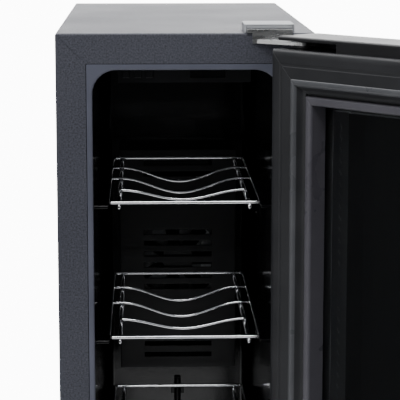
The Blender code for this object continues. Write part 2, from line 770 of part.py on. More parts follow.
def door():
    pivot = bpy.data.objects.new("door_pivot", None)
    PARTS.objects.link(pivot)
    pivot.location = (PIVOT_X, PIVOT_Y, 0)
    pivot.rotation_euler.z = math.radians(DOOR_OPEN_DEG)
    middle = bpy.data.objects.new("door_middle", None)
    PARTS.objects.link(middle)
    middle.parent = pivot
    middle.location = (-PIVOT_X, -PIVOT_Y, 0)

    gasket_half = HALF - GASKET_SIDE_INSET
    gasket_low = DOOR_FOOT + GASKET_END_INSET
    gasket_top = BODY_HEIGHT - GASKET_END_INSET
    pocket_inset = BEAD_INSET - CLEAR
    window_inset = BEAD_INSET + BEAD_WIDTH
    pane_inset = BEAD_INSET + CLEAR

    door_frame(pivot, middle, gasket_half, gasket_low, gasket_top, pocket_inset, window_inset)

    outer_front = DOOR_OUTER + DOOR_LIP + CLEAR
    outer_back = outer_front + PANE
    spacer_front = outer_back + CLEAR
    spacer_back = spacer_front + AIR_GAP - 2 * CLEAR
    inner_front = spacer_back + CLEAR
    inner_back = inner_front + PANE
    for name, front, back in (
        ("glass_outer", outer_front, outer_back),
        ("glass_inner", inner_front, inner_back),
    ):
        block(
            name,
            (pane_inset - gasket_half, front, gasket_low + pane_inset),
            (gasket_half - pane_inset, back, gasket_top - pane_inset),
            GLASS,
            middle,
        )
    rectangle = (gasket_half, gasket_low, gasket_top)
    section = (
        (pane_inset, spacer_front),
        (pane_inset, spacer_back),
        (SPACER_INSET, spacer_back),
        (SPACER_INSET, spacer_front),
    )
    mitred_ring("glazing_spacer", section, *rectangle, SPACER, middle)
    section = (
        (BEAD_INSET, inner_back + CLEAR),
        (BEAD_INSET, DOOR_INNER + BEAD_PROUD - 0.001),
        (BEAD_INSET + 0.001, DOOR_INNER + BEAD_PROUD),
        (window_inset - 0.001, DOOR_INNER + BEAD_PROUD),
        (window_inset, DOOR_INNER + BEAD_PROUD - 0.001),
        (window_inset, inner_back + CLEAR),
    )
    mitred_ring("door_inner_bead", section, *rectangle, BLACK_PLASTIC, middle)

    seat = DOOR_INNER + CLEAR
    face = DOOR_INNER + GASKET_HEIGHT
    groove_front = MAGNET_INSET - CLEAR
    groove_back = MAGNET_INSET + MAGNET_WIDTH + CLEAR
    groove_top = seat + MAGNET_HEIGHT + CLEAR
    section = (
        (0, seat),
        (0, face - 0.0023),
        (0.006, face),
        (0.018, face),
        (0.022, face - 0.0007),
        (GASKET_WIDTH, seat + 0.001),
        (GASKET_WIDTH, seat),
        (groove_back, seat),
        (groove_back, groove_top),
        (groove_front, groove_top),
        (groove_front, seat),
    )
    mitred_ring("door_gasket", section, *rectangle, RUBBER, middle)
    section = (
        (MAGNET_INSET, seat),
        (MAGNET_INSET, seat + MAGNET_HEIGHT),
        (MAGNET_INSET + MAGNET_WIDTH, seat + MAGNET_HEIGHT),
        (MAGNET_INSET + MAGNET_WIDTH, seat),
    )
    mitred_ring("gasket_magnet", section, *rectangle, MAGNET, middle)

    bush(
        "door_bush_top",
        SLOT_LOW - BUSH_LENGTH,
        SLOT_LOW + BUSH_COLLAR_HEIGHT,
        SLOT_LOW + CLEAR,
        SLOT_LOW + CLEAR + BUSH_COLLAR_HEIGHT,
        pivot,
    )
    bush(
        "door_bush_bottom",
        BUSH_COLLAR_HEIGHT,
        DOOR_FOOT + BUSH_LENGTH,
        0,
        DOOR_FOOT - CLEAR,
        pivot,
    )


def door_frame(pivot, middle, gasket_half, gasket_low, gasket_top, pocket_inset, window_inset):
    frame = block(
        "door_frame",
        (-HALF, DOOR_OUTER, DOOR_FOOT),
        (HALF, DOOR_INNER, BODY_HEIGHT),
        BLACK_PLASTIC,
        middle,
    )
    bevel = frame.modifiers.new("Bevel", "BEVEL")
    bevel.width = DOOR_BEVEL
    bevel.segments = 2
    for name, inset, front in (
        ("glazing_pocket", pocket_inset, DOOR_OUTER + DOOR_LIP),
        ("door_window", window_inset, DOOR_OUTER - DOOR_LIP),
    ):
        cutter = block(
            name,
            (inset - gasket_half, front, gasket_low + inset),
            (gasket_half - inset, DOOR_INNER + DOOR_LIP, gasket_top - inset),
            parent=middle,
        )
        cut(frame, cutter)
    slot = block(
        "arm_slot",
        (-SLOT_LENGTH, -SLOT_FRONT, SLOT_LOW),
        (2 * PIVOT_FROM_SIDE, 2 * PIVOT_FROM_INNER, SLOT_LOW + SLOT_HEIGHT),
        parent=pivot,
    )
    well = PIN_RADIUS + 2 * CLEAR + BUSH_WALL
    upper = cylinder(
        "upper_well", (0, 0, 0), well, SLOT_LOW - BUSH_LENGTH - CLEAR, SLOT_LOW + CLEAR, parent=pivot
    )
    lower = cylinder(
        "lower_well", (0, 0, 0), well, 0, DOOR_FOOT + BUSH_LENGTH + CLEAR, parent=pivot
    )
    pull_y = (DOOR_OUTER + DOOR_INNER) / 2
    pull = block(
        "pull_hollow",
        (-HALF - PULL_DEPTH, pull_y - PULL_WIDTH / 2, PULL_HEIGHT - PULL_LENGTH / 2),
        (PULL_DEPTH - HALF, pull_y + PULL_WIDTH / 2, PULL_HEIGHT + PULL_LENGTH / 2),
        parent=middle,
    )
    cut(frame, slot, upper, lower, pull)


# ---- Cooling module ----
def heat_sink(name, side, base_low, base_high, fin_end, look):
    """A square plate with upright fins that reach to fin_end along Y."""
    half = side / 2
    sink = block(
        name,
        (-half, base_low, MODULE_HEIGHT - half),
        (half, base_high, MODULE_HEIGHT + half),
        look,
    )
    ends = sorted((fin_end, (base_low + base_high) / 2))
    fins = block(
        "fins",
        (-half, ends[0], MODULE_HEIGHT - half),
        (FIN_THICKNESS - half, ends[1], MODULE_HEIGHT + half),
    )
    join(sink, repeat(fins, FIN_COUNT, ((side - FIN_THICKNESS) / (FIN_COUNT - 1), 0, 0)))


def fan(name, side, low, high, spider_low):
    """A square fan frame between low and high along Y, and its rotor."""
    half = side / 2
    bore = half - FAN_WALL
    frame = block(
        f"{name}_frame",
        (-half, low, MODULE_HEIGHT - half),
        (half, high, MODULE_HEIGHT + half),
        BLACK_PLASTIC,
    )
    centre = (0, 0, MODULE_HEIGHT)
    cut(frame, cylinder("fan_bore", centre, bore, low - SHEET, high + SHEET, "Y", sides=32))
    spider = (low, low + FAN_SPIDER) if spider_low else (high - FAN_SPIDER, high)
    join(frame, cylinder("fan_motor", centre, FAN_HUB, *spider, "Y"))
    reach = half - FAN_WALL / 2
    strut = FAN_SPIDER
    across = block(
        "strut",
        (-reach, spider[0] + TUCK, MODULE_HEIGHT - strut),
        (reach, spider[1] - TUCK, MODULE_HEIGHT + strut),
    )
    upright = block(
        "strut",
        (-strut, spider[0] + 2 * TUCK, MODULE_HEIGHT - reach),
        (strut, spider[1] - 2 * TUCK, MODULE_HEIGHT + reach),
    )
    join(frame, across, upright)

    if spider_low:
        rotor_low, rotor_high = spider[1] + CLEAR, high - CLEAR
    else:
        rotor_low, rotor_high = low + CLEAR, spider[0] - CLEAR
    rotor = cylinder(
        f"{name}_rotor", centre, FAN_HUB, rotor_low, rotor_high, "Y", look=BLACK_PLASTIC
    )
    depth = rotor_high - rotor_low
    inner = FAN_HUB / 2
    outer = bore - FAN_TIP_GAP
    bm = bmesh.new()
    for k in range(BLADES):
        made = bmesh.ops.create_cube(bm, size=1.0)["verts"]
        bmesh.ops.scale(bm, vec=(outer - inner, depth * 1.5, 0.0012), verts=made)
        turn = Matrix.Rotation(math.radians(55), 3, "X")
        bmesh.ops.rotate(bm, matrix=turn, verts=made)
        bmesh.ops.translate(bm, vec=((outer + inner) / 2, 0, 0), verts=made)
        turn = Matrix.Rotation(2 * math.pi * k / BLADES, 3, "Y")
        bmesh.ops.rotate(bm, matrix=turn, verts=made)
    middle = (0, (rotor_low + rotor_high) / 2, MODULE_HEIGHT)
    join(rotor, place("blades", finish("blades", bm), middle))


def cooling_module():
    half = BLOCK_SIDE / 2
    low = MODULE_HEIGHT - half
    high = MODULE_HEIGHT + half
    heat_sink(
        "cold_sink",
        COLD_SIDE,
        COLD_BACK - COLD_BASE,
        COLD_BACK,
        COLD_BACK - COLD_BASE - COLD_FIN,
        ALUMINIUM,
    )
    block("cold_block", (-half, COLD_BACK + CLEAR, low), (half, BLOCK_BACK, high), ALUMINIUM)
    block(
        "peltier_module",
        (-half, BLOCK_BACK + CLEAR, low),
        (half, PELTIER_BACK, high),
        CERAMIC,
    )
    heat_sink(
        "hot_sink",
        HOT_SIDE,
        HOT_FRONT,
        HOT_FRONT + HOT_BASE,
        HOT_FRONT + HOT_BASE + HOT_FIN,
        ALUMINIUM,
    )
    fan("inner_fan", INNER_FAN_SIDE, INNER_FAN_BACK - INNER_FAN_DEPTH, INNER_FAN_BACK, False)
    fan("outer_fan", OUTER_FAN_SIDE, OUTER_FAN_FRONT, OUTER_FAN_FRONT + OUTER_FAN_DEPTH, True)
    fan_cover()
    temperature_probe()


def slots(name, width, low, high, first, count, pitch=VENT_PITCH):
    """A row of level slots along Z, cut along Y between low and high."""
    slot = block(name, (-width / 2, low, first), (width / 2, high, first + VENT_WIDTH))
    return repeat(slot, count, (0, 0, pitch))


def fan_cover():
    half = COVER_HALF
    low = MODULE_HEIGHT - COVER_LENGTH / 2
    high = MODULE_HEIGHT + COVER_LENGTH / 2
    cover = block(
        "fan_cover", (-half, COVER_FRONT, low), (half, COLD_BACK, high), BLACK_PLASTIC
    )
    wall = COVER_SHELL
    hollow = block(
        "cover_inside",
        (wall - half, COVER_FRONT + wall, low + wall),
        (half - wall, COLD_BACK + wall, high - wall),
    )
    cut(cover, hollow)
    width = INNER_FAN_SIDE * 0.75
    count = 6
    first = MODULE_HEIGHT - ((count - 1) * VENT_PITCH + VENT_WIDTH) / 2
    front = (COVER_FRONT - wall, COVER_FRONT + 2 * wall)
    cut(cover, slots("fan_grille", width, *front, first, count))
    end = 2 * VENT_PITCH
    cut(cover, slots("low_outlet", width, *front, low + VENT_PITCH, 2))
    cut(cover, slots("high_outlet", width, *front, high - end - VENT_WIDTH, 2))


def temperature_probe():
    z = MODULE_HEIGHT - COVER_LENGTH / 2 - PROBE_DROP
    y = COLD_BACK - PROBE_RADIUS
    low = z - PROBE_LENGTH / 2
    high = z + PROBE_LENGTH / 2
    probe = cylinder(
        "temperature_probe", (0, y, 0), PROBE_RADIUS, low, high, look=BLACK_PLASTIC
    )
    saddle = block(
        "probe_saddle",
        (-2 * PROBE_RADIUS, y, z - PROBE_RADIUS),
        (2 * PROBE_RADIUS, COLD_BACK, z + PROBE_RADIUS),
    )
    join(probe, saddle)


# ---- Rear housing and power supply ----
def housing_screw_places():
    x = HOUSING_HALF + HOUSING_SCREW_INSET
    low = HOUSING_LOW + 2 * HOUSING_SCREW_INSET
    high = HOUSING_TOP - 2 * HOUSING_SCREW_INSET
    return ((-x, low), (x, low), (-x, high), (x, high))


def rear_housing():
    half = HOUSING_HALF
    wall = HOUSING_WALL
    low = HOUSING_LOW
    high = HOUSING_TOP
    housing = block(
        "rear_housing", (-half, HOT_FRONT, low), (half, HOUSING_BACK, high), BLACK_PLASTIC
    )
    hollow = block(
        "housing_hollow",
        (wall - half, HOT_FRONT - wall, low + wall),
        (half - wall, HOUSING_BACK - wall, high - wall),
    )
    tab = 2 * HOUSING_SCREW_INSET
    for x, z in housing_screw_places():
        inner = math.copysign(half - wall / 2, x)
        outer = math.copysign(half + tab, x)
        ear = block(
            "screw_ear",
            (min(inner, outer), HOT_FRONT, z - tab / 2),
            (max(inner, outer), HOT_FRONT + wall, z + tab / 2),
        )
        join(housing, ear)
    cut(housing, hollow)
    for x, z in housing_screw_places():
        hole = SCREW_SHANK + CLEAR
        cut(housing, cylinder("ear_hole", (x, 0, z), hole, BACK, HOT_FRONT + 2 * wall, "Y"))
    rear = (HOUSING_BACK - 2 * wall, HOUSING_BACK + wall)
    count = 8
    first = MODULE_HEIGHT - ((count - 1) * VENT_PITCH + VENT_WIDTH) / 2
    cut(housing, slots("rear_grille", OUTER_FAN_SIDE, *rear, first, count))
    side_vent = block(
        "side_vents",
        (-2 * half, HOT_FRONT + 0.012, first),
        (2 * half, HOUSING_BACK - 0.012, first + VENT_WIDTH),
    )
    cut(housing, repeat(side_vent, count, (0, 0, VENT_PITCH)))
    inlet_half = INLET_WIDTH / 2 + CLEAR
    inlet_tall = INLET_TALL / 2 + CLEAR
    hole = block(
        "inlet_hole",
        (-inlet_half, rear[0], INLET_HEIGHT - inlet_tall),
        (inlet_half, rear[1], INLET_HEIGHT + inlet_tall),
    )
    cut(housing, hole)
    for k, (x, z) in enumerate(housing_screw_places()):
        seat = HOT_FRONT + wall + CLEAR
        made = cylinder(
            f"housing_screw_{k + 1}",
            (x, 0, z),
            SCREW_HEAD,
            seat,
            seat + SCREW_HEAD_HEIGHT,
            "Y",
            look=ZINC_STEEL,
        )
        tip = BACK - SCREW_LENGTH + SHEET
        shank = cylinder(
            "shank", (x, 0, z), SCREW_SHANK, tip, seat + SCREW_HEAD_HEIGHT / 2, "Y", sides=12
        )
        join(made, shank)


def power_inlet():
    half = INLET_WIDTH / 2
    tall = INLET_TALL / 2
    seat = HOUSING_BACK + CLEAR
    mouth = seat + INLET_FLANGE
    floor = mouth - INLET_DEPTH
    inlet = block(
        "power_inlet",
        (-half, floor - 2 * INLET_FLANGE, INLET_HEIGHT - tall),
        (half, mouth, INLET_HEIGHT + tall),
        BLACK_PLASTIC,
    )
    rim = block(
        "inlet_rim",
        (-half - INLET_RIM, seat, INLET_HEIGHT - tall - INLET_RIM),
        (half + INLET_RIM, mouth, INLET_HEIGHT + tall + INLET_RIM),
    )
    hollow = block(
        "inlet_mouth",
        (INLET_WALL - half, floor, INLET_HEIGHT - tall + INLET_WALL),
        (half - INLET_WALL, mouth + INLET_FLANGE, INLET_HEIGHT + tall - INLET_WALL),
    )
    join(inlet, rim)
    cut(inlet, hollow)
    rows = ((-BLADE_SPACING, -0.5), (0, 0.5), (BLADE_SPACING, -0.5))
    for x, rise in rows:
        z = INLET_HEIGHT + rise * BLADE_TALL
        blade = block(
            "inlet_blade",
            (x - BLADE_THICKNESS / 2, floor - INLET_FLANGE, z - BLADE_TALL / 2),
            (x + BLADE_THICKNESS / 2, mouth - 2 * INLET_FLANGE, z + BLADE_TALL / 2),
        )
        join(inlet, blade)


def power_board():
    half = HOUSING_HALF - HOUSING_WALL - HOUSING_BOARD_GAP
    low = POWER_BOARD_HEIGHT - POWER_BOARD_LENGTH / 2
    high = POWER_BOARD_HEIGHT + POWER_BOARD_LENGTH / 2
    face = HOT_FRONT + BOARD_STANDOFF
    back = face + BOARD
    board = block("power_board", (-half, face, low), (half, back, high), CIRCUIT)
    inset = 2 * FOOT_STEM
    for x in (inset - half, half - inset):
        for z in (low + inset, high - inset):
            standoff = cylinder(
                "standoff", (x, 0, z), FOOT_STEM, HOT_FRONT, face + BOARD / 2, "Y", sides=8
            )
            join(board, standoff)
    z = POWER_BOARD_HEIGHT
    seat = back - BOARD / 2
    transformer = block("transformer", (-0.018, seat, z - 0.020), (0.016, back + 0.026, z + 0.014))
    regulator = block("regulator", (0.026, seat, z - 0.030), (0.040, back + 0.030, z + 0.030))
    capacitor = cylinder(
        "capacitor", (-0.034, 0, z + 0.012), 0.009, seat, back + 0.028, "Y", sides=16
    )
    smaller = cylinder(
        "capacitor", (-0.034, 0, z - 0.018), 0.006, seat, back + 0.018, "Y", sides=16
    )
    join(board, transformer, regulator, capacitor, smaller)


# ---- Controls under the cabinet's ceiling ----
def button_places():
    first = BUTTON_INSET - CONTROL_HALF
    return [first + BUTTON_PITCH * k for k in range(3)]


def control_housing():
    half = CONTROL_HALF
    wall = CONTROL_WALL
    back = CONTROL_FRONT + CONTROL_DEPTH
    housing = block(
        "control_housing",
        (-half, CONTROL_FRONT, CONTROL_LOW),
        (half, back, CONTROL_TOP),
        BLACK_PLASTIC,
    )
    hollow = block(
        "control_hollow",
        (wall - half, CONTROL_FRONT + wall, CONTROL_LOW + wall),
        (half - wall, back - wall, CONTROL_TOP + wall),
    )
    cut(housing, hollow)
    through = (CONTROL_FRONT - wall, CONTROL_FRONT + 2 * wall)
    hole = BUTTON_SIDE / 2 + CLEAR
    for x in button_places():
        cutter = block(
            "button_hole",
            (x - hole, through[0], CONTROL_MIDDLE - hole),
            (x + hole, through[1], CONTROL_MIDDLE + hole),
        )
        cut(housing, cutter)
    window = block(
        "window_hole",
        (WINDOW_MIDDLE - WINDOW_WIDTH / 2, through[0], CONTROL_MIDDLE - WINDOW_TALL / 2),
        (WINDOW_MIDDLE + WINDOW_WIDTH / 2, through[1], CONTROL_MIDDLE + WINDOW_TALL / 2),
    )
    lens_y = CONTROL_FRONT + CONTROL_DEPTH / 2
    lens = block(
        "lens_hole",
        (-LENS_WIDTH / 2, lens_y - LENS_DEPTH / 2, CONTROL_LOW - wall),
        (LENS_WIDTH / 2, lens_y + LENS_DEPTH / 2, CONTROL_LOW + 2 * wall),
    )
    cut(housing, window, lens)


def controls():
    control_housing()
    inner = CONTROL_FRONT + CONTROL_WALL
    lap = WINDOW_OVERLAP
    block(
        "display_window",
        (
            WINDOW_MIDDLE - WINDOW_WIDTH / 2 - lap,
            inner + CLEAR,
            CONTROL_MIDDLE - WINDOW_TALL / 2 - lap,
        ),
        (
            WINDOW_MIDDLE + WINDOW_WIDTH / 2 + lap,
            inner + CLEAR + CONTROL_WALL,
            CONTROL_MIDDLE + WINDOW_TALL / 2 + lap,
        ),
        GLASS,
    )
    lens_y = CONTROL_FRONT + CONTROL_DEPTH / 2
    lens_low = CONTROL_LOW + CONTROL_WALL + CLEAR
    lens_top = lens_low + CONTROL_WALL
    block(
        "lamp_lens",
        (-LENS_WIDTH / 2 - lap, lens_y - LENS_DEPTH / 2 - lap, lens_low),
        (LENS_WIDTH / 2 + lap, lens_y + LENS_DEPTH / 2 + lap, lens_top),
        LENS,
    )
    button_back = inner + CLEAR + BUTTON_RIM
    for name, x in zip(("button_light", "button_up", "button_down"), button_places()):
        half = BUTTON_SIDE / 2
        button = block(
            name,
            (x - half, CONTROL_FRONT - BUTTON_PROUD, CONTROL_MIDDLE - half),
            (x + half, button_back, CONTROL_MIDDLE + half),
            BLACK_PLASTIC,
        )
        wide = half + BUTTON_RIM
        rim = block(
            "button_rim",
            (x - wide, inner + CLEAR, CONTROL_MIDDLE - wide),
            (x + wide, button_back, CONTROL_MIDDLE + wide),
        )
        join(button, rim)
    control_board(button_back, lens_top)


def control_board(button_back, lens_top):
    half = CONTROL_HALF - CONTROL_WALL - CLEAR
    front = button_back + BUTTON_PROUD + CLEAR
    low = lens_top + CLEAR
    back = CONTROL_FRONT + CONTROL_DEPTH - CONTROL_WALL - CLEAR
    board = block("control_board", (-half, front, low), (half, back, low + BOARD), CIRCUIT)
    leg = 2 * FOOT_STEM
    seat = CONTROL_LOW + CONTROL_WALL + CLEAR
    for side in (-1, 1):
        edges = sorted((side * half, side * (half - leg)))
        foot = block(
            "board_foot", (edges[0], back - leg, seat), (edges[1], back, low + BOARD / 2)
        )
        join(board, foot)
    switches = block(
        "switches",
        (button_places()[0] - BUTTON_SIDE / 2, front, low + BOARD / 2),
        (button_places()[-1] + BUTTON_SIDE / 2, front + BUTTON_SIDE, CONTROL_TOP - CONTROL_WALL),
    )
    join(board, switches)


cabinet_wrapper()
base_pan()
rear_panel()
inner_liner()
foam_insulation()
feet()
shelves()
top_hinge()
bottom_hinge()
door()
cooling_module()
rear_housing()
power_inlet()
power_board()
controls()
for part in PARTS.objects:
    if part.type == "MESH":
        smooth(part)
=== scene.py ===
"""Looks for the slim wine cooler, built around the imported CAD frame.

Every piece is made in the frame's own metres. The door's pieces are built as they lie
when the door is closed and are then turned about the hinge line to the rest pose.
"""

import json
import math

import bmesh
import bpy
from mathutils import Matrix, Vector


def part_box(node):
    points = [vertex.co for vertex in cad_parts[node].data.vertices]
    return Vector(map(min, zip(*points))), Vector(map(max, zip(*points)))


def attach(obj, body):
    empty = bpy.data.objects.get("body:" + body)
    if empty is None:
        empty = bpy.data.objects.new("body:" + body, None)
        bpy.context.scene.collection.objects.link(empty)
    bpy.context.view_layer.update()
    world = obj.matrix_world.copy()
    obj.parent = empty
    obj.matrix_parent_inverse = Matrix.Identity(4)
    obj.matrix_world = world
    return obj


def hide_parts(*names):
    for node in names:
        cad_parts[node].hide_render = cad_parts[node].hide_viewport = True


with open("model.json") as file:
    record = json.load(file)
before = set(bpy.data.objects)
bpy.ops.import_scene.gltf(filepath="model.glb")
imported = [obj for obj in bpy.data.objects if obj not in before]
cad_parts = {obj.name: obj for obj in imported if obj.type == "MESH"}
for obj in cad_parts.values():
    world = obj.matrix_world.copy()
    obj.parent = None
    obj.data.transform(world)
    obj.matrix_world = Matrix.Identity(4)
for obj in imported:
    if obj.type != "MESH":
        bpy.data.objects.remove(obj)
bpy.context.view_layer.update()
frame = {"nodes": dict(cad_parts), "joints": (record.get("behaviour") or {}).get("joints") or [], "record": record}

# ---- Sizes read from the frame ----
BODY_LOW, BODY_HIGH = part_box("cabinet_wrapper")
HALF = BODY_HIGH.x
FRONT = BODY_LOW.y
BACK = BODY_HIGH.y
HEIGHT = BODY_HIGH.z
LINER_LOW, LINER_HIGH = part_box("inner_liner")
FLOOR_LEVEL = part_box("foot_rear_left")[0].z
HINGE = next(joint for joint in frame["joints"] if joint["name"] == "door_hinge")
PIVOT = Vector(HINGE["pos_m"])
SWING = -math.radians(HINGE["range_deg"][0])

GAP = 0.0003                     # clearance between pieces that meet
MERGE = 0.000002                 # points nearer than this are one
SHEET = 0.0008                   # steel sheet
FOLD_RADIUS = 0.0015             # where the steel sheet is folded
SEAM = 0.00035                   # width of a mitre seam in the steel
LIP = 0.0043                     # liner's lip inside the steel face
WALL = 0.002                     # liner wall
TUB_RADIUS = 0.017
TUB_HALF = LINER_HIGH.x - LIP
TUB_BACK = LINER_HIGH.y - WALL
FLANGE_EDGE = LINER_HIGH.x + GAP
FLANGE_HIGH = LINER_HIGH.z + GAP
FLANGE_CORNER = 0.001            # corners of the opening in the steel
FINE = 14                        # steps in a quarter of a rounded corner

WIRE = 0.003                     # wire of a shelf's frame
ROD = 0.004                      # rods under a shelf
CROSS = 0.0026                   # cradle wires of a shelf
ROD_INSET = 0.0083               # rod's middle from the frame wire's middle
SHELF_CORNER = 0.003
SHELF_LOW, SHELF_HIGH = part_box("shelf_1")
SHELF_HALF = SHELF_HIGH.x - WIRE / 2
SHELF_FRONT = SHELF_LOW.y + WIRE / 2
SHELF_DEPTH = SHELF_HIGH.y - WIRE / 2 - SHELF_FRONT
ROD_X = SHELF_HALF - ROD_INSET


# ---- Camera, floor and light ----
def camera():
    data = bpy.data.cameras.new("camera")
    data.sensor_width = 36
    data.lens = 156.5
    obj = bpy.data.objects.new("camera", data)
    obj.location = (-0.029, -1.4134, 0.7451)
    obj.rotation_mode = "QUATERNION"
    obj.rotation_quaternion = Vector((0.0319, 1, -0.170)).to_track_quat("-Z", "Y")
    bpy.context.scene.collection.objects.link(obj)
    bpy.context.scene.camera = obj


def softbox(name, location, target, size, watts):
    data = bpy.data.lights.new(name, "AREA")
    data.shape = "RECTANGLE"
    data.size = size[0]
    data.size_y = size[1]
    data.energy = watts
    obj = bpy.data.objects.new(name, data)
    obj.location = location
    obj.rotation_mode = "QUATERNION"
    aim = Vector(target) - Vector(location)
    obj.rotation_quaternion = aim.to_track_quat("-Z", "Y")
    bpy.context.scene.collection.objects.link(obj)


def studio():
    world = bpy.data.worlds.new("studio")
    bpy.context.scene.world = world
    world.use_nodes = True
    nodes = world.node_tree.nodes
    links = world.node_tree.links
    nodes.clear()
    seen = nodes.new("ShaderNodeBackground")
    seen.inputs["Color"].default_value = (1, 1, 1, 1)
    seen.inputs["Strength"].default_value = 12.0
    lit = nodes.new("ShaderNodeBackground")
    lit.inputs["Color"].default_value = (0.93, 0.96, 1, 1)
    place = nodes.new("ShaderNodeTexCoord")
    split = nodes.new("ShaderNodeSeparateXYZ")
    rise = nodes.new("ShaderNodeMapRange")
    rise.interpolation_type = "SMOOTHSTEP"
    rise.inputs["From Min"].default_value = 0.15
    rise.inputs["From Max"].default_value = 0.75
    rise.inputs["To Min"].default_value = 0.05
    rise.inputs["To Max"].default_value = 0.75
    links.new(place.outputs["Generated"], split.inputs[0])
    links.new(split.outputs["Z"], rise.inputs["Value"])
    links.new(rise.outputs["Result"], lit.inputs["Strength"])
    rays = nodes.new("ShaderNodeLightPath")
    mix = nodes.new("ShaderNodeMixShader")
    out = nodes.new("ShaderNodeOutputWorld")
    links.new(rays.outputs["Is Camera Ray"], mix.inputs["Fac"])
    links.new(lit.outputs[0], mix.inputs[1])
    links.new(seen.outputs[0], mix.inputs[2])
    links.new(mix.outputs[0], out.inputs["Surface"])
    softbox("overhead", (-0.1, 0.5, 2.2), (0, 0, 0.6), (2.6, 1.6), 42)
    softbox("front_left", (-1.5, -1.9, 1.5), (0, -0.1, 0.45), (1.0, 1.4), 20)
    softbox("front_right", (1.6, -1.6, 1.3), (0.1, -0.2, 0.4), (0.7, 1.4), 9)
    softbox("front_top", (-0.05, -1.15, 1.55), (0, -0.19, 0.64), (0.5, 0.3), 5)
    softbox("left_strip", (-1.7, -0.55, 0.6), (0.1, -0.25, 0.4), (0.14, 1.7), 2)
    softbox("behind", (0.5, 2.2, 1.3), (0, 0, 0.4), (2.0, 1.2), 25)


def floor(look):
    bm = bmesh.new()
    bmesh.ops.create_circle(bm, cap_ends=True, radius=1.1, segments=128)
    bmesh.ops.translate(bm, vec=(0, 0, FLOOR_LEVEL - 0.0002), verts=bm.verts)
    mesh = bpy.data.meshes.new("floor")
    bm.to_mesh(mesh)
    bm.free()
    mesh.materials.append(look)
    obj = bpy.data.objects.new("floor", mesh)
    bpy.context.scene.collection.objects.link(obj)


# ---- Materials ----
def surface(name, dark, light, rough, metallic=0.0, blotch=60, grain=900, depth=0.00003,
            stretch=(1, 1, 1), speckle=0.0, **sockets):
    """A surface whose colour and roughness drift with a soft noise, with a fine relief.

    dark and light are the colours it drifts between, and rough is the range of its
    roughness. speckle mixes the fine grain into the colour.
    """
    made = bpy.data.materials.new(name)
    made.use_nodes = True
    nodes = made.node_tree.nodes
    links = made.node_tree.links
    shader = nodes["Principled BSDF"]
    shader.inputs["Metallic"].default_value = metallic
    for socket, value in sockets.items():
        shader.inputs[socket.replace("_", " ")].default_value = value
    place = nodes.new("ShaderNodeTexCoord")
    scale = nodes.new("ShaderNodeMapping")
    scale.inputs["Scale"].default_value = stretch
    links.new(place.outputs["Object"], scale.inputs["Vector"])

    soft = nodes.new("ShaderNodeTexNoise")
    soft.inputs["Scale"].default_value = blotch
    soft.inputs["Detail"].default_value = 4
    links.new(scale.outputs[0], soft.inputs["Vector"])
    fine = nodes.new("ShaderNodeTexNoise")
    fine.inputs["Scale"].default_value = grain
    fine.inputs["Detail"].default_value = 3
    fine.inputs["Roughness"].default_value = 0.6
    links.new(scale.outputs[0], fine.inputs["Vector"])

    share = nodes.new("ShaderNodeMix")
    share.inputs["Factor"].default_value = speckle
    links.new(soft.outputs["Fac"], share.inputs["A"])
    links.new(fine.outputs["Fac"], share.inputs["B"])
    ramp = nodes.new("ShaderNodeValToRGB")
    ramp.color_ramp.elements[0].position = 0.32
    ramp.color_ramp.elements[0].color = (*dark, 1)
    ramp.color_ramp.elements[1].position = 0.68
    ramp.color_ramp.elements[1].color = (*light, 1)
    links.new(share.outputs["Result"], ramp.inputs["Fac"])
    links.new(ramp.outputs["Color"], shader.inputs["Base Color"])

    spread = nodes.new("ShaderNodeMapRange")
    spread.inputs["From Min"].default_value = 0.3
    spread.inputs["From Max"].default_value = 0.7
    spread.inputs["To Min"].default_value = rough[0]
    spread.inputs["To Max"].default_value = rough[1]
    links.new(soft.outputs["Fac"], spread.inputs["Value"])
    links.new(spread.outputs["Result"], shader.inputs["Roughness"])

    bump = nodes.new("ShaderNodeBump")
    bump.inputs["Strength"].default_value = 1.0
    bump.inputs["Distance"].default_value = depth
    links.new(fine.outputs["Fac"], bump.inputs["Height"])
    links.new(bump.outputs["Normal"], shader.inputs["Normal"])
    return made


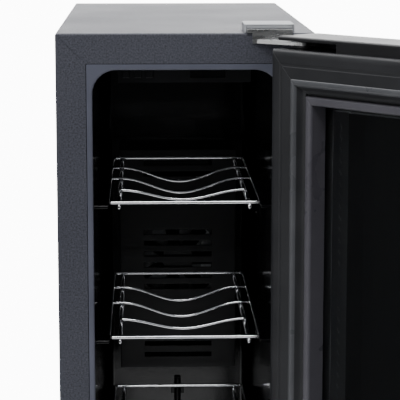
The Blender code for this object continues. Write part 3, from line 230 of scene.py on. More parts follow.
LOOKS = {
    "steel_paint": surface(
        "powder_coated_steel", (0.022, 0.023, 0.030), (0.080, 0.083, 0.108), (0.42, 0.52),
        blotch=9, grain=800, depth=0.00028, speckle=0.9,
    ),
    "zinc_steel": surface(
        "zinc_plated_steel", (0.58, 0.585, 0.59), (0.80, 0.80, 0.79), (0.22, 0.33), 1.0,
        blotch=45, grain=500, depth=0.000012, stretch=(1, 1, 6),
    ),
    "black_plastic": surface(
        "moulded_black_plastic", (0.0065, 0.0065, 0.0075), (0.010, 0.010, 0.0115), (0.30, 0.40),
        blotch=25, grain=2200, depth=0.000025,
    ),
    "liner_plastic": surface(
        "glossy_black_liner", (0.0020, 0.0020, 0.0026), (0.0035, 0.0035, 0.0042), (0.09, 0.14),
        blotch=14, grain=140, depth=0.00003,
    ),
    "foam": surface(
        "insulating_foam", (0.62, 0.52, 0.30), (0.82, 0.74, 0.50), (0.85, 0.95),
        blotch=120, grain=1100, depth=0.0004,
    ),
    "chrome": surface(
        "chromed_wire", (0.68, 0.69, 0.71), (0.86, 0.86, 0.88), (0.06, 0.12), 1.0,
        blotch=90, grain=300, depth=0.000008,
    ),
    "gasket_rubber": surface(
        "gasket_rubber", (0.010, 0.0105, 0.0125), (0.015, 0.0155, 0.018), (0.48, 0.60),
        blotch=40, grain=1800, depth=0.00003,
    ),
    "magnet": surface(
        "bonded_magnet", (0.035, 0.028, 0.024), (0.060, 0.050, 0.042), (0.65, 0.80),
        blotch=150, grain=1500, depth=0.00005,
    ),
    "glass": surface(
        "tinted_glass", (0.006, 0.0063, 0.0075), (0.008, 0.0083, 0.0095), (0.010, 0.020),
        blotch=4, grain=9, depth=0.000002, Transmission_Weight=0.55, IOR=1.5,
    ),
    "spacer": surface(
        "glazing_spacer", (0.11, 0.11, 0.125), (0.17, 0.17, 0.185), (0.38, 0.50), 0.6,
        blotch=60, grain=900, depth=0.00002, stretch=(1, 1, 0.3),
    ),
    "aluminium": surface(
        "extruded_aluminium", (0.55, 0.56, 0.57), (0.74, 0.75, 0.76), (0.28, 0.42), 1.0,
        blotch=50, grain=700, depth=0.00002, stretch=(8, 1, 0.4),
    ),
    "ceramic": surface(
        "module_ceramic", (0.74, 0.73, 0.68), (0.88, 0.87, 0.83), (0.5, 0.65),
        blotch=80, grain=1500, depth=0.00002,
    ),
    "circuit": surface(
        "circuit_board", (0.008, 0.085, 0.035), (0.020, 0.190, 0.080), (0.30, 0.45),
        blotch=240, grain=700, depth=0.00005, stretch=(1, 1, 2.5),
    ),
    "hinge_cover": surface(
        "grey_hinge_cover", (0.36, 0.37, 0.39), (0.44, 0.45, 0.47), (0.40, 0.50),
        blotch=70, grain=1900, depth=0.00003,
    ),
    "lens": surface(
        "lamp_lens", (0.62, 0.65, 0.70), (0.78, 0.80, 0.84), (0.18, 0.28),
        blotch=90, grain=600, depth=0.00003, Transmission_Weight=0.4,
    ),
    "nylon": surface(
        "nylon_bush", (0.018, 0.018, 0.020), (0.027, 0.027, 0.030), (0.40, 0.50),
        blotch=80, grain=1200, depth=0.00002,
    ),
}
CLEAR_GLASS = surface(
    "clear_glass", (0.86, 0.89, 0.88), (0.90, 0.92, 0.91), (0.004, 0.010),
    blotch=4, grain=9, depth=0.000001, Transmission_Weight=1.0, IOR=1.5,
)
SEALANT = surface(
    "black_sealant", (0.006, 0.006, 0.007), (0.011, 0.011, 0.012), (0.40, 0.55),
    blotch=90, grain=400, depth=0.00006,
)
PALE_FLOOR = surface(
    "pale_floor", (0.80, 0.80, 0.80), (0.83, 0.83, 0.83), (0.55, 0.65),
    blotch=2, grain=300, depth=0.00002,
)


# ---- Mesh helpers ----
def dress(obj, angle=38):
    """Smooth shading with crisp edges, and flat faces kept flat beside a rounded edge."""
    obj.data.shade_smooth()
    obj.data.set_sharp_from_angle(angle=math.radians(angle))
    modifier = obj.modifiers.new("Weighted normals", "WEIGHTED_NORMAL")
    modifier.keep_sharp = True


def mesh_object(name, bm, look=None):
    mesh = bpy.data.meshes.new(name)
    bm.to_mesh(mesh)
    bm.free()
    if look:
        mesh.materials.append(look)
    obj = bpy.data.objects.new(name, mesh)
    bpy.context.scene.collection.objects.link(obj)
    return obj


def bake_modifiers(obj):
    """The object's evaluated mesh becomes its own, without modifiers."""
    bpy.context.view_layer.update()
    graph = bpy.context.evaluated_depsgraph_get()
    mesh = bpy.data.meshes.new_from_object(obj.evaluated_get(graph))
    obj.modifiers.clear()
    obj.data = mesh


def carve(obj, cutters, operation="DIFFERENCE"):
    """Cuts the helpers from obj, or joins them to it, and removes them."""
    for cutter in cutters:
        modifier = obj.modifiers.new("Boolean", "BOOLEAN")
        modifier.operation = operation
        modifier.object = cutter
        modifier.solver = "EXACT"
        modifier.use_self = False
    bake_modifiers(obj)
    for cutter in cutters:
        bpy.data.objects.remove(cutter, do_unlink=True)


def add_box(bm, low, high, turn=None):
    verts = bmesh.ops.create_cube(bm, size=1.0)["verts"]
    size = [b - a for a, b in zip(low, high)]
    middle = [(a + b) / 2 for a, b in zip(low, high)]
    bmesh.ops.scale(bm, vec=size, verts=verts)
    if turn:
        bmesh.ops.rotate(bm, matrix=turn, verts=verts)
    bmesh.ops.translate(bm, vec=middle, verts=verts)


def box(name, low, high, bevel=0.0, segments=3, turn=None):
    bm = bmesh.new()
    add_box(bm, low, high, turn)
    if bevel:
        bmesh.ops.bevel(
            bm, geom=bm.edges[:], offset=bevel, segments=segments, profile=0.5, affect="EDGES"
        )
    return mesh_object(name, bm)


def rounded(half, low, high, radius, steps=FINE, middle=0.0):
    """Points round a rectangle across X and Z with rounded corners."""
    centres = (
        (half - radius, high - radius, 0),
        (radius - half, high - radius, 90),
        (radius - half, low + radius, 180),
        (half - radius, low + radius, 270),
    )
    points = []
    for x, z, start in centres:
        for step in range(steps + 1):
            angle = math.radians(start + 90 * step / steps)
            points.append((middle + x + radius * math.cos(angle), z + radius * math.sin(angle)))
    return points


def loft(bm, rings, closed=False):
    """Faces between rings of as many points each; closed joins the last to the first."""
    rows = [[bm.verts.new(point) for point in ring] for ring in rings]
    count = len(rows[0])
    pairs = list(zip(rows, rows[1:]))
    if closed:
        pairs.append((rows[-1], rows[0]))
    for a, b in pairs:
        for k in range(count):
            n = (k + 1) % count
            bm.faces.new((a[k], a[n], b[n], b[k]))
    if not closed:
        bm.faces.new(rows[0])
        bm.faces.new(rows[-1])
    bmesh.ops.recalc_face_normals(bm, faces=bm.faces)


def prism(name, outline, low, high):
    """A flat outline in X and Z, given thickness along Y."""
    bm = bmesh.new()
    loft(bm, [[(x, y, z) for x, z in outline] for y in (low, high)])
    return mesh_object(name, bm)


def mitred(bm, section, half, low, high, seam=0.0, dip=0.0, floor_y=None):
    """A closed section of (inset, y) points carried round a rectangle with mitred corners.

    With a seam, each corner has a shallow groove: points further out than floor_y sink by
    dip on the mitre itself, over seam on each side.
    """
    stations = []
    corners = ((1, -1), (1, 1), (-1, 1), (-1, -1))
    for k, (sx, sz) in enumerate(corners):
        px, pz = corners[k - 1]
        nx, nz = corners[(k + 1) % 4]
        stations.append((sx, sz, (px - sx) / 2 * seam, (pz - sz) / 2 * seam, 0.0))
        stations.append((sx, sz, 0.0, 0.0, dip))
        stations.append((sx, sz, (nx - sx) / 2 * seam, (nz - sz) / 2 * seam, 0.0))
    if not seam:
        stations = stations[1::3]
    rings = []
    for sx, sz, dx, dz, drop in stations:
        ring = []
        for inset, y in section:
            x = sx * (half - inset) + dx
            z = (high - inset if sz > 0 else low + inset) + dz
            lowered = y - drop if floor_y is not None and y > floor_y else y
            ring.append((x, lowered, z))
        rings.append(ring)
    loft(bm, rings, closed=True)


def tube(bm, points, radius, sides=14, closed=False, up=(0, 0, 1)):
    """A round wire through the points, with rounded ends where it isn't closed."""
    path = [Vector(point) for point in points]
    count = len(path)
    tangents = []
    for k in range(count):
        before = path[k - 1] if closed or k else path[k]
        after = path[(k + 1) % count] if closed or k < count - 1 else path[k]
        tangents.append((after - before).normalized())
    normal = Vector(up)
    if abs(normal.dot(tangents[0])) > 0.9:
        normal = Vector((1, 0, 0))
    rings = []
    last = None
    for k, (point, tangent) in enumerate(zip(path, tangents)):
        if last is not None:
            normal = last.rotation_difference(tangent) @ normal
        normal = (normal - tangent * normal.dot(tangent)).normalized()
        last = tangent
        side = tangent.cross(normal)
        grow = 1.0
        if 0 < k < count - 1 or closed:
            bend = tangents[k - 1].angle(tangent) if k or closed else 0
            grow = 1 / max(0.9, math.cos(bend / 2))
        circle = [
            normal * math.cos(2 * math.pi * s / sides) + side * math.sin(2 * math.pi * s / sides)
            for s in range(sides)
        ]
        rings.append([point + c * radius * grow for c in circle])
        if not closed and k in (0, count - 1):
            sign = -1 if k == 0 else 1
            caps = []
            for t in (30, 55, 75):
                reach = radius * math.sin(math.radians(t)) * 0.7
                shrink = math.cos(math.radians(t))
                caps.append(
                    [point + tangent * sign * reach + c * radius * shrink for c in circle]
                )
            rings = caps[::-1] + rings if k == 0 else rings + caps
    loft(bm, rings, closed=closed)


def lathe(bm, profile, centre, sides=40, axis="Z"):
    """A turned shape from (radius, height) points, closed at both ends."""
    cx, cy, cz = centre
    rings = []
    for radius, level in profile:
        ring = []
        for s in range(sides):
            a = radius * math.cos(2 * math.pi * s / sides)
            b = radius * math.sin(2 * math.pi * s / sides)
            ring.append((cx + a, cy + b, level) if axis == "Z" else (cx + a, level, cz - b))
        rings.append(ring)
    loft(bm, rings)


def hang(obj, body, slot, *nodes):
    """The piece rides on a body, takes a slot's finish and stands for CAD nodes."""
    if not obj.data.materials:
        obj.data.materials.append(LOOKS[slot])
    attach(obj, body)
    if nodes:
        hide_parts(*nodes)
    return obj


def open_door(obj):
    """Turns a piece built with the door closed to where the open door stands."""
    turn = Matrix.Translation(PIVOT) @ Matrix.Rotation(SWING, 4, "Z") @ Matrix.Translation(-PIVOT)
    obj.data.transform(turn)


def closed_box(node):
    """(lowest, highest) corner of a door node with the door turned shut."""
    turn = Matrix.Translation(PIVOT) @ Matrix.Rotation(-SWING, 4, "Z") @ Matrix.Translation(-PIVOT)
    points = [turn @ v.co for v in frame["nodes"][node].data.vertices]
    low = Vector([min(p[k] for p in points) for k in range(3)])
    high = Vector([max(p[k] for p in points) for k in range(3)])
    return low, high


SLOT_OF = {row["node"]: row["material_slot"] for row in frame["record"]["subparts"]}
BODY_OF = {}
for group, members in frame["record"]["behaviour"]["bodies"].items():
    for member in members:
        BODY_OF[member] = group


def softened(node, width):
    """A CAD node's shape with its edges rounded, as a piece that stands for it."""
    bm = bmesh.new()
    bm.from_mesh(frame["nodes"][node].data)
    bmesh.ops.remove_doubles(bm, verts=bm.verts, dist=MERGE)
    flat = math.radians(0.6)
    bmesh.ops.dissolve_limit(bm, angle_limit=flat, verts=bm.verts, edges=bm.edges)
    bmesh.ops.recalc_face_normals(bm, faces=bm.faces)
    obj = mesh_object(f"{node}_form", bm, LOOKS[SLOT_OF[node]])
    bevel = obj.modifiers.new("Bevel", "BEVEL")
    bevel.width = width
    bevel.segments = 2
    bevel.limit_method = "ANGLE"
    bevel.angle_limit = math.radians(32)
    bake_modifiers(obj)
    dress(obj)
    return hang(obj, BODY_OF[node], SLOT_OF[node], node)


# ---- Cabinet ----
def centre_of(node):
    low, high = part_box(node)
    return (low + high) / 2


def is_fold(edge):
    """Whether the steel is folded there: at the front's sides and top, and the top's sides."""
    a, b = (vert.co for vert in edge.verts)
    at_front = max(a.y, b.y) < 0 and max(a.z, b.z) > HEIGHT / 2
    at_side = min(a.z, b.z) > HEIGHT / 2 and a.x == b.x
    return at_front or at_side


def cabinet_wrapper():
    """The folded steel, with its opening, the mitre seams beside it and two screw holes."""
    bm = bmesh.new()
    add_box(bm, (-HALF, FRONT, 0), (HALF, BACK, HEIGHT))
    folds = [edge for edge in bm.edges if is_fold(edge)]
    bmesh.ops.bevel(
        bm, geom=folds, offset=FOLD_RADIUS, segments=6, profile=0.5, affect="EDGES"
    )
    shell = mesh_object("cabinet_shell", bm)
    hollow = box(
        "hollow",
        (SHEET - HALF, FRONT + SHEET, -SHEET),
        (HALF - SHEET, BACK + SHEET, HEIGHT - SHEET),
    )
    outline = rounded(FLANGE_EDGE, -FLANGE_CORNER, FLANGE_HIGH, FLANGE_CORNER, 4)
    opening = prism("opening", outline, FRONT - SHEET, FRONT + 2 * SHEET)
    cutters = [hollow, opening]
    seam_length = 0.060
    seam_depth = SHEET * 0.7
    width = HALF - FLANGE_EDGE
    for side in (-1, 1):
        middle = Vector((side * (HALF - width / 2), FRONT, HEIGHT - width / 2))
        size = Vector((seam_length, seam_depth, SEAM)) / 2
        turn = Matrix.Rotation(side * math.radians(-45), 3, "Y")
        cutters.append(box("seam", middle - size, middle + size, turn=turn))
    hole = 0.0021
    for k in (1, 2):
        place = centre_of(f"hinge_top_screw_{k}")
        bm = bmesh.new()
        lathe(bm, ((hole, HEIGHT - 0.01), (hole, HEIGHT + 0.01)), place, 24)
        cutters.append(mesh_object("screw_hole", bm))
    carve(shell, cutters)
    dress(shell)
    hang(shell, "cabinet", "steel_paint", "cabinet_wrapper")


# A lighter, satin blue-grey copy of the liner plastic for the lip: a painted reflection of front light on the
# glossy lip.
LIP_PAINTED_REFLECTION = surface(
    "satin_liner_lip", (0.085, 0.090, 0.118), (0.105, 0.110, 0.145), (0.30, 0.38),
    blotch=20, grain=1500, depth=0.00003,
)


def arc(centre_inset, centre_y, radius, start, end):
    """(inset, y) points round part of a circle, by angle from the way inset grows."""
    points = []
    steps = 5
    for step in range(steps + 1):
        angle = math.radians(start + (end - start) * step / steps)
        points.append(
            (centre_inset + radius * math.cos(angle), centre_y + radius * math.sin(angle))
        )
    return points


def shelf_levels():
    """Height of each shelf's front bar, from the top shelf down."""
    count = sum(1 for node in frame["nodes"] if node.startswith("shelf_"))
    return [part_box(f"shelf_{k + 1}")[1].z - WIRE / 2 for k in range(count)]


def inner_liner():
    """The liner as one tub: a rolled lip, rounded corners and a rounded rear edge. Its lip is painted lighter, a
    painted reflection of front light.
    """
    lip_round = 0.0012
    rear_round = 0.008
    back = TUB_BACK
    section = [(LIP + rear_round, back + WALL)]
    section += arc(LIP - WALL + rear_round, back + WALL - rear_round, rear_round, 90, 180)
    joint = 0.0006               # depth of the dark line round the lip
    section += [(LIP - WALL, FRONT + SHEET), (-GAP, FRONT + SHEET), (-GAP, FRONT + joint)]
    section += [(0.0001, FRONT + joint), (0.0001, FRONT + joint / 2), (0.0004, FRONT)]
    section += [(LIP - lip_round - 0.0008, FRONT)]
    section += arc(LIP - lip_round, FRONT + lip_round, lip_round, -90, 0)
    section += arc(LIP + rear_round, back - rear_round, rear_round, 180, 90)
    bm = bmesh.new()
    rings = []
    for inset, y in section:
        radius = FLANGE_CORNER - GAP if inset < 0.001 else max(TUB_RADIUS + LIP - inset, 0.004)
        outline = rounded(
            LINER_HIGH.x - inset, LINER_LOW.z + inset, LINER_HIGH.z - inset, radius
        )
        rings.append([(x, y, z) for x, z in outline])
    loft(bm, rings)
    liner = mesh_object("liner_tub", bm, LOOKS["liner_plastic"])
    liner.data.materials.append(LIP_PAINTED_REFLECTION)

    block_low, block_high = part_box("cold_block")
    window = box(
        "window",
        (block_low.x - GAP, back - 0.01, block_low.z - GAP),
        (block_high.x + GAP, back + 0.01, block_high.z + GAP),
    )
    carve(liner, [window])
    ledges = []
    ledge_reach = 0.0098
    ledge_height = 0.0025
    overhang = 0.0025
    for level in shelf_levels():
        top = level - WIRE / 2 - GAP
        for side in (-1, 1):
            edges = sorted((side * (TUB_HALF - ledge_reach), side * (TUB_HALF + WALL / 2)))
            ledges.append(
                box(
                    "ledge",
                    (edges[0], SHELF_FRONT - overhang, top - ledge_height),
                    (edges[1], SHELF_FRONT + SHELF_DEPTH + overhang, top),
                    bevel=0.0007,
                )
            )
    carve(liner, ledges, "UNION")
    # Faces of the lip take the lighter plastic, a painted reflection of front light.
    for face in liner.data.polygons:
        x, y, z = face.center
        inset = min(LINER_HIGH.x - abs(x), z - LINER_LOW.z, LINER_HIGH.z - z)
        face.material_index = int(y < FRONT + lip_round * 0.8 and inset > 0.0002)
    dress(liner)
    hang(liner, "cabinet", "liner_plastic", "inner_liner")


def foot(node):
    """A moulded foot: a ribbed grip, a soft sole with a groove, and its threaded stem."""
    low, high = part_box(node)
    middle = (low + high) / 2
    radius = (high.x - low.x) / 2
    top = -GAP
    sole = low.z
    profile = [
        (0.002, sole + 0.0008), (radius * 0.55, sole + 0.0008), (radius * 0.60, sole),
        (radius - 0.0025, sole), (radius - 0.0010, sole + 0.0005), (radius - 0.0004, sole + 0.0018),
        (radius - 0.0004, sole + 0.0035), (radius - 0.0014, sole + 0.0041),
        (radius - 0.0014, sole + 0.0049), (radius, sole + 0.0056), (radius, top - 0.0022),
        (radius - 0.0006, top - 0.0010), (radius - 0.0018, top), (0.0045, top),
    ]
    stem = 0.004
    pitch = 0.0011
    turns = int((high.z - top - 0.0012) / pitch)
    for k in range(turns):
        level = top + 0.0006 + k * pitch
        profile += [(stem - 0.0005, level), (stem, level + pitch / 2)]
    profile += [(stem - 0.0005, high.z - 0.0006), (stem - 0.0012, high.z)]
    bm = bmesh.new()
    lathe(bm, profile, (middle.x, middle.y, 0), 72)
    flutes = 18
    flute_share = 0.028
    grip = [v for v in bm.verts if sole + 0.0050 < v.co.z < top - 0.0015]
    for vert in grip:
        offset = Vector((vert.co.x - middle.x, vert.co.y - middle.y, 0))
        turn = math.atan2(offset.y, offset.x)
        offset *= 1 - flute_share * (0.5 + 0.5 * math.cos(flutes * turn))
        vert.co.x = middle.x + offset.x
        vert.co.y = middle.y + offset.y
    obj = mesh_object(f"{node}_turned", bm, LOOKS["black_plastic"])
    dress(obj, 30)
    hang(obj, BODY_OF[node], "black_plastic", node)


# ---- Shelves ----
def cradle(dip, y, level, over_rails):
    """One cross wire: level over the rods, dipping between them under a bottle."""
    points = []
    steps = 34                   # even, so that one point is the bottom of the dip
    for step in range(steps + 1):
        x = ROD_X * (2 * step / steps - 1)
        points.append((x, y, level - dip * (1 + math.cos(math.pi * x / ROD_X)) / 2))
    if over_rails:
        return [(-SHELF_HALF, y, level), *points, (SHELF_HALF, y, level)]
    rod_level = level - (WIRE + ROD) / 2
    bend = 0.0014
    left = []
    for step in range(5):
        angle = math.radians(180 - 90 * step / 4)
        left.append(
            (bend - ROD_X + bend * math.cos(angle), y, level - bend + bend * math.sin(angle))
        )
    inner = [p for p in points if abs(p[0]) < ROD_X - bend]
    right = [(-x, y, z) for x, y, z in reversed(left)]
    return [(-ROD_X, y, rod_level), *left, *inner, *right, (ROD_X, y, rod_level)]


def shelf(index, level):
    """A wire shelf: its frame, the two rods under it and the three cradle wires."""
    node = f"shelf_{index}"
    bm = bmesh.new()
    outline = rounded(SHELF_HALF, SHELF_FRONT, SHELF_FRONT + SHELF_DEPTH, SHELF_CORNER, 6)
    tube(bm, [(x, y, level) for x, y in outline], WIRE / 2, 16, closed=True)
    bite = 0.0002                # how far welding sinks the rods into the frame
    short = 0.0012               # rod's end from the frame's outer face
    rod_level = level + bite - (WIRE + ROD) / 2
    low = SHELF_FRONT - WIRE / 2 + short
    high = SHELF_FRONT + SHELF_DEPTH + WIRE / 2 - short
    for side in (-1, 1):
        run = [(side * ROD_X, low + (high - low) * k / 6, rod_level) for k in range(7)]
        tube(bm, run, ROD / 2, 20)
    dips = (0.0075, 0.0115, 0.0115)
    spacing = SHELF_DEPTH / (len(dips) + 1)
    for k, dip in enumerate(dips):
        points = cradle(dip, SHELF_FRONT + spacing * (k + 1), level, k > 0)
        tube(bm, points, CROSS / 2, 14, up=(0, 1, 0))
    for side in (-1, 1):
        for y in (SHELF_FRONT, SHELF_FRONT + SHELF_DEPTH):
            weld(bm, (side * ROD_X, y, level - WIRE / 2), 0.0016)
        for k in (1, 2):
            weld(bm, (side * SHELF_HALF, SHELF_FRONT + spacing * (k + 1), level), 0.0018)
    obj = mesh_object(f"{node}_wires", bm, LOOKS["chrome"])
    dress(obj, 50)
    hang(obj, node, "chrome", node)


def weld(bm, place, radius):
    """A small swelling of metal where two wires are welded together."""
    made = bmesh.ops.create_icosphere(bm, subdivisions=2, radius=radius)["verts"]
    bmesh.ops.scale(bm, vec=(1.0, 1.0, 0.55), verts=made)
    bmesh.ops.translate(bm, vec=place, verts=made)


# ---- Hinges ----
def screw(node, up):
    """A pan-head screw with a cross recess, its threaded shank in the sheet."""
    low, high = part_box(node)
    middle = (low + high) / 2
    along_y = high.y - low.y > high.x - low.x + 0.001
    axis = 1 if along_y else 2
    radius = (high.x - low.x) / 2
    head = high[axis] if up > 0 else low[axis]
    tip = low[axis] if up > 0 else high[axis]
    tall = 0.0013
    profile = [(radius * 0.25, head), (radius * 0.62, head - up * 0.00012)]
    profile += [(radius * 0.88, head - up * 0.00045), (radius, head - up * 0.00085)]
    profile += [(radius, head - up * (tall - 0.0001)), (radius - 0.0001, head - up * tall)]
    shank = 0.0018
    pitch = 0.0008
    level = tall
    while level + pitch < abs(head - tip) - 0.001:
        profile.append((shank, head - up * (level + 0.0002)))
        profile.append((shank * 0.8, head - up * (level + pitch / 2)))
        level += pitch
    profile += [(shank * 0.5, tip + up * 0.0004), (shank * 0.15, tip)]
    bm = bmesh.new()
    lathe(bm, profile, middle, 32, "Y" if along_y else "Z")
    obj = mesh_object(f"{node}_pan_head", bm, LOOKS["zinc_steel"])
    recess = []
    recess_depth = 0.0006
    for size in ((radius * 1.05, radius * 0.22), (radius * 0.22, radius * 1.05)):
        if along_y:
            half = [size[0] / 2, recess_depth, size[1] / 2]
        else:
            half = [size[0] / 2, size[1] / 2, recess_depth]
        centre = Vector(middle)
        centre[axis] = head
        recess.append(box("recess", centre - Vector(half), centre + Vector(half)))
    carve(obj, recess)
    dress(obj, 35)
    hang(obj, "cabinet", "zinc_steel", node)


def hinge_cover():
    """A moulded cover with a soft top edge, and a panel set in its front."""
    low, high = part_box("hinge_top_cover")
    middle = (low.x + high.x) / 2
    half = (high.x - low.x) / 2
    corner = 0.003
    fillet = 0.0007
    rings = []
    levels = [(0, low.z), (0, high.z - fillet)]
    for step in range(1, 5):
        angle = math.radians(90 * step / 4)
        levels.append((fillet * (1 - math.cos(angle)), high.z - fillet + fillet * math.sin(angle)))
    for inset, z in levels:
        outline = rounded(half - inset, low.y + inset, high.y - inset, corner - inset, 8, middle)
        rings.append([(x, y, z) for x, y in outline])
    bm = bmesh.new()
    loft(bm, rings)
    cover = mesh_object("hinge_cover_shell", bm, LOOKS["hinge_cover"])
    wall = 0.0015
    hollow = box(
        "hollow",
        (low.x + wall, low.y + wall, low.z - 0.001),
        (high.x - wall, high.y - wall, high.z - wall),
        bevel=0.0008,
    )
    arm_passage = 0.0029
    passage = box(
        "passage",
        (low.x + wall, low.y - 0.01, low.z - 0.001),
        (high.x - wall, low.y + 2 * wall, low.z + arm_passage),
    )
    panel_low = low.z + 0.0031
    panel_high = high.z - 0.0008
    edge = 0.0014
    outline = rounded(half - edge, panel_low, panel_high, 0.0006, 6, middle)
    groove = prism("groove", outline, low.y - 0.001, low.y + 0.0009)
    carve(cover, [hollow, passage, groove])
    dress(cover)
    hang(cover, "cabinet", "hinge_cover", "hinge_top_cover")

    line = 0.0004
    outline = rounded(
        half - edge - line, panel_low + line, panel_high - line, 0.0004, 6, middle
    )
    panel = prism("hinge_cover_panel", outline, low.y + 0.0001, low.y + 0.0010)
    bevel = panel.modifiers.new("Bevel", "BEVEL")
    bevel.width = 0.00015
    bevel.segments = 2
    bake_modifiers(panel)
    dress(panel)
    hang(panel, "cabinet", "hinge_cover")


# ---- Door, built shut ----
GASKET_LOW, GASKET_HIGH = closed_box("door_gasket")
DOOR_LOW, DOOR_HIGH = closed_box("door_frame")
RECTANGLE = (GASKET_HIGH.x, GASKET_LOW.z, GASKET_HIGH.z)
DOOR_INNER = DOOR_HIGH.y
DOOR_OUTER = DOOR_LOW.y
PANE_LOW, PANE_HIGH = closed_box("glass_inner")
OUTER_LOW, OUTER_HIGH = closed_box("glass_outer")
PANE_INSET = RECTANGLE[0] - PANE_HIGH.x
BEAD_LOW, BEAD_HIGH = closed_box("door_inner_bead")
BEAD_INSET = RECTANGLE[0] - BEAD_HIGH.x
BEAD_WIDTH = 0.006
WINDOW_INSET = BEAD_INSET + BEAD_WIDTH
SPACER_INSET = 0.041


def door_piece(name, bm, slot, *nodes, look=None, angle=38):
    obj = mesh_object(name, bm, look or LOOKS[slot])
    open_door(obj)
    dress(obj, angle)
    return hang(obj, "door", slot, *nodes)


# A lighter copy of the gasket rubber: a painted highlight for light catching the gasket's ridge.
RIDGE_PAINTED_HIGHLIGHT = surface(
    "satin_gasket_ridge", (0.070, 0.072, 0.078), (0.088, 0.090, 0.097), (0.26, 0.34),
    blotch=40, grain=1800, depth=0.00002,
)


def inset_of(place):
    """How far a closed door's point lies in from the gasket's edge."""
    half, low, high = RECTANGLE
    return min(half - abs(place.x), place.z - low, high - place.z)


def door_gasket():
    """The gasket's moulded section: a flat face with a shallow groove, a ridge and a skirt, with a painted
    highlight along the ridge.
    """
    seat = DOOR_INNER + GAP
    face = GASKET_HIGH.y
    magnet_high = closed_box("gasket_magnet")[1]
    magnet_width = 0.0074
    inner = RECTANGLE[0] - magnet_high.x - GAP
    outer = inner + magnet_width + 2 * GAP
    roof = magnet_high.y + GAP
    section = [(0, seat), (0, seat + 0.0035)]
    section += [(0.0002, seat + 0.0046), (0.0008, seat + 0.0056), (0.0018, seat + 0.0062)]
    section += [(0.0032, face - 0.0007), (0.0046, face - 0.0005), (0.0086, face - 0.0005)]
    section += [(0.0090, face - 0.0008), (0.0094, face - 0.0009), (0.0106, face - 0.0009)]
    section += [(0.0110, face - 0.0008), (0.0114, face - 0.0005), (0.0188, face - 0.0008)]
    ridge = 0.0214
    ridge_start = 0.0192
    ridge_end = 0.0242
    for step in range(7):
        angle = math.radians(170 - 150 * step / 6)
        section.append((ridge + 0.0022 * math.cos(angle), face - 0.0012 + 0.0012 * math.sin(angle)))
    section += [(ridge_end, face - 0.0018), (0.0252, face - 0.0034), (0.0263, face - 0.0048)]
    section += [(0.0273, face - 0.0057), (0.0283, face - 0.0060), (0.0289, face - 0.0063)]
    section += [(0.0290, face - 0.0068), (0.0290, seat)]
    section += [(outer, seat), (outer, roof), (inner, roof), (inner, seat)]
    bm = bmesh.new()
    mitred(bm, section, *RECTANGLE, seam=0.0005, dip=0.0005, floor_y=roof + 0.0004)
    # Faces on the ridge take the lighter rubber, a painted highlight along the ridge.
    for skin in bm.faces:
        middle = skin.calc_center_median()
        ridge_highlight_faces = ridge_start < inset_of(middle) < ridge_end and middle.y > face - 0.0020
        skin.material_index = int(ridge_highlight_faces)
    gasket = door_piece("door_gasket_moulded", bm, "gasket_rubber", "door_gasket", angle=32)
    gasket.data.materials.append(RIDGE_PAINTED_HIGHLIGHT)


BEAD_PLASTIC = surface(
    "satin_bead", (0.070, 0.067, 0.079), (0.086, 0.083, 0.096), (0.26, 0.34),
    blotch=30, grain=1800, depth=0.00003,
)


def door_bead():
    """The glazing bead: a rounded strip round the glass, mitred at its corners."""
    base = BEAD_LOW.y
    top = BEAD_HIGH.y
    outer = BEAD_INSET
    inner = WINDOW_INSET
    section = [(outer, base), (outer, top - 0.0014)]
    section += [(outer + 0.0003, top - 0.0006), (outer + 0.0010, top - 0.0001)]
    section += [(outer + 0.0018, top), (inner - 0.0016, top), (inner - 0.0008, top - 0.0003)]
    section += [(inner - 0.0002, top - 0.0010), (inner, top - 0.0020), (inner, base + 0.0006)]
    section += [(inner - 0.0005, base)]
    bm = bmesh.new()
    mitred(bm, section, *RECTANGLE, seam=0.0003, dip=0.0003, floor_y=top - 0.0030)
    door_piece("glazing_bead", bm, "black_plastic", "door_inner_bead", look=BEAD_PLASTIC)


def glazing():
    """Two panes with ground edges, the perforated spacer between them and its sealant."""
    ground = 0.0005
    for place, corners, look in (
        ("inner", (PANE_LOW, PANE_HIGH), CLEAR_GLASS),
        ("outer", (OUTER_LOW, OUTER_HIGH), LOOKS["glass"]),
    ):
        bm = bmesh.new()
        add_box(bm, *corners)
        bmesh.ops.bevel(
            bm, geom=bm.edges[:], offset=ground, segments=2, profile=0.5, affect="EDGES"
        )
        door_piece(f"pane_{place}", bm, "glass", f"glass_{place}", look=look)

    front = OUTER_HIGH.y + GAP
    back = PANE_LOW.y - GAP
    wall = 0.0009
    seam_inset = SPACER_INSET - wall
    section = [(seam_inset, front), (seam_inset, back), (SPACER_INSET, back)]
    section += [(SPACER_INSET, back - 0.0006), (SPACER_INSET - 0.0002, back - 0.0011)]
    section += [(SPACER_INSET - 0.0002, front + 0.0011), (SPACER_INSET, front + 0.0006)]
    section += [(SPACER_INSET, front)]
    bm = bmesh.new()
    mitred(bm, section, *RECTANGLE)
    spacer = mesh_object("spacer_bar", bm, LOOKS["spacer"])
    holes = bmesh.new()
    half, low, high = RECTANGLE
    pitch = 0.008
    row_offset = 0.00055         # a row of slots from the spacer's middle
    row_shift = 0.00099          # and along it
    level = (front + back) / 2
    for row in (-1, 1):
        add_perforations(
            holes, half - SPACER_INSET, low + SPACER_INSET, high - SPACER_INSET,
            pitch, level + row * row_offset, wall, row * row_shift,
        )
    carve(spacer, [mesh_object("perforations", holes)])
    open_door(spacer)
    dress(spacer)
    hang(spacer, "door", "spacer", "glazing_spacer")

    section = [(PANE_INSET, front), (PANE_INSET, back)]
    section += [(seam_inset - 0.0001, back), (seam_inset - 0.0001, front)]
    bm = bmesh.new()
    mitred(bm, section, *RECTANGLE)
    door_piece("edge_sealant", bm, "gasket_rubber", look=SEALANT)


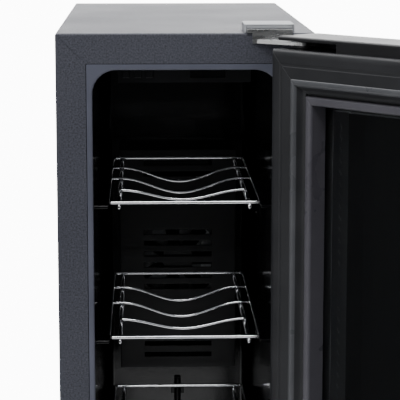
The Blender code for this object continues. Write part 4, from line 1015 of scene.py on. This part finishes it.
def add_perforations(bm, half, low, high, pitch, y, wall, shift):
    """Short slots through the spacer's inner wall, all round the window."""
    long = 0.0008
    thick = 0.00022
    count = int((high - low - 2 * pitch) / pitch)
    first = (low + high) / 2 - count * pitch / 2 + shift
    for k in range(count + 1):
        z = first + k * pitch
        for side in (-1, 1):
            x = side * (half + wall / 2)
            add_box(bm, (x - wall, y - thick, z - long), (x + wall, y + thick, z + long))
    count = int((2 * half - 2 * pitch) / pitch)
    first = -count * pitch / 2 + shift
    for k in range(count + 1):
        x = first + k * pitch
        for z in (low - wall / 2, high + wall / 2):
            add_box(bm, (x - long, y - thick, z - wall), (x + long, y + thick, z + wall))


def door_frame():
    """The door's body with soft outer edges, glazed opening, hinge slot and finger pull."""
    body = box("door_body", DOOR_LOW, DOOR_HIGH, bevel=0.002, segments=5)
    half, low, high = RECTANGLE
    cutters = []
    pocket = BEAD_INSET - GAP
    for inset, start in ((pocket, OUTER_LOW.y - GAP), (WINDOW_INSET, DOOR_OUTER - 0.01)):
        cutters.append(
            box(
                "glazing",
                (inset - half, start, low + inset),
                (half - inset, DOOR_INNER + 0.01, high - inset),
            )
        )
    slot_height = 0.006
    slot_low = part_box("door_bush_top")[1].z - 0.0017
    slot_high = slot_low + slot_height
    cutters.append(
        box(
            "slot",
            (PIVOT.x - 0.045, PIVOT.y - 0.012, slot_low),
            (PIVOT.x + 0.03, PIVOT.y + 0.03, slot_high),
        )
    )
    well = 0.0066                # radius of the wells that hold the bushes
    deep = 0.0148
    for z_low, z_high in ((slot_low - deep, slot_low + 0.001), (0, DOOR_LOW.z + deep)):
        bm = bmesh.new()
        lathe(bm, ((well, z_low), (well, z_high)), (PIVOT.x, PIVOT.y, 0))
        cutters.append(mesh_object("well", bm))
    pull_y = (DOOR_OUTER + DOOR_INNER) / 2
    pull_level = 0.330
    pull_reach = 0.100
    pull_half = 0.009
    pull_depth = 0.012
    outline = rounded(
        pull_reach, pull_y - pull_half, pull_y + pull_half, 0.0085, 10, pull_level
    )
    bm = bmesh.new()
    rings = []
    for x in (DOOR_LOW.x - 0.01, DOOR_LOW.x + pull_depth):
        rings.append([(x, y, z) for z, y in outline])
    loft(bm, rings)
    cutters.append(mesh_object("pull", bm))
    carve(body, cutters)
    bevel = body.modifiers.new("Bevel", "BEVEL")
    bevel.width = 0.0005
    bevel.segments = 2
    bevel.limit_method = "ANGLE"
    bevel.angle_limit = math.radians(50)
    bake_modifiers(body)
    open_door(body)
    dress(body)
    hang(body, "door", "black_plastic", "door_frame")


# ---- Pieces whose form the frame already holds ----
SLEEVE = surface(
    "capacitor_sleeve", (0.010, 0.020, 0.070), (0.018, 0.034, 0.110), (0.28, 0.36),
    blotch=120, grain=900, depth=0.00002,
)
TAPE = surface(
    "transformer_tape", (0.42, 0.30, 0.035), (0.58, 0.43, 0.070), (0.30, 0.42),
    blotch=100, grain=900, depth=0.00003,
)


def power_board():
    """The board with its parts told apart by where they stand on it."""
    obj = softened("power_board", 0.0004)
    low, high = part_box("power_board")
    board = 0.0020               # thickness of the board, below its parts
    transformer_low = 0.40       # shares of the board's height
    transformer_high = 0.62
    for look in (LOOKS["black_plastic"], TAPE, SLEEVE, LOOKS["aluminium"]):
        obj.data.materials.append(look)
    for face in obj.data.polygons:
        middle = face.center
        if min(middle.y - low.y, high.y - middle.y) < board:
            continue
        share = (middle.z - low.z) / (high.z - low.z)
        if share > transformer_high:
            face.material_index = 2
        elif share > transformer_low:
            face.material_index = 1
        else:
            face.material_index = 3


def power_inlet():
    """The inlet's moulding, with metal on its three pins."""
    obj = softened("power_inlet", 0.0004)
    obj.data.materials.append(LOOKS["zinc_steel"])
    low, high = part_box("power_inlet")
    middle = (low + high) / 2
    pins_wide = 0.0095
    pins_tall = 0.0065
    socket_floor = high.y - 0.016
    socket_rim = high.y - 0.0015
    for face in obj.data.polygons:
        place = face.center
        across = abs(place.x - middle.x) < pins_wide and abs(place.z - middle.z) < pins_tall
        if across and socket_floor < place.y < socket_rim:
            face.material_index = 1


ROUNDING = {                     # each node's edge rounding
    "base_pan": 0.0003,
    "rear_panel": 0.00025,
    "fan_cover": 0.0007,
    "rear_housing": 0.0008,
    "cold_sink": 0.0002,
    "hot_sink": 0.0002,
    "cold_block": 0.0003,
    "peltier_module": 0.0002,
    "inner_fan_frame": 0.0004,
    "outer_fan_frame": 0.0004,
    "inner_fan_rotor": 0.0003,
    "outer_fan_rotor": 0.0003,
    "temperature_probe": 0.0004,
    "control_housing": 0.0006,
    "control_board": 0.0003,
    "display_window": 0.0003,
    "lamp_lens": 0.0003,
    "button_light": 0.0004,
    "button_up": 0.0004,
    "button_down": 0.0004,
    "hinge_top_bracket": 0.0004,
    "hinge_bottom_bracket": 0.0004,
    "gasket_magnet": 0.0003,
    "door_bush_top": 0.0004,
    "door_bush_bottom": 0.0004,
}

cabinet_wrapper()
inner_liner()
for number, level in enumerate(shelf_levels()):
    shelf(number + 1, level)
for side in ("left", "right"):
    foot(f"foot_front_{side}")
    foot(f"foot_rear_{side}")
for number in (1, 2):
    screw(f"hinge_top_screw_{number}", 1)
    screw(f"hinge_bottom_screw_{number}", -1)
for number in (1, 2, 3, 4):
    screw(f"housing_screw_{number}", 1)
hinge_cover()
door_frame()
door_gasket()
door_bead()
glazing()
for node, width in ROUNDING.items():
    softened(node, width)
power_board()
power_inlet()
for node in frame["nodes"].values():
    node.data.materials.clear()
    node.data.materials.append(LOOKS[SLOT_OF[node.name]])

camera()
studio()
floor(PALE_FLOOR)
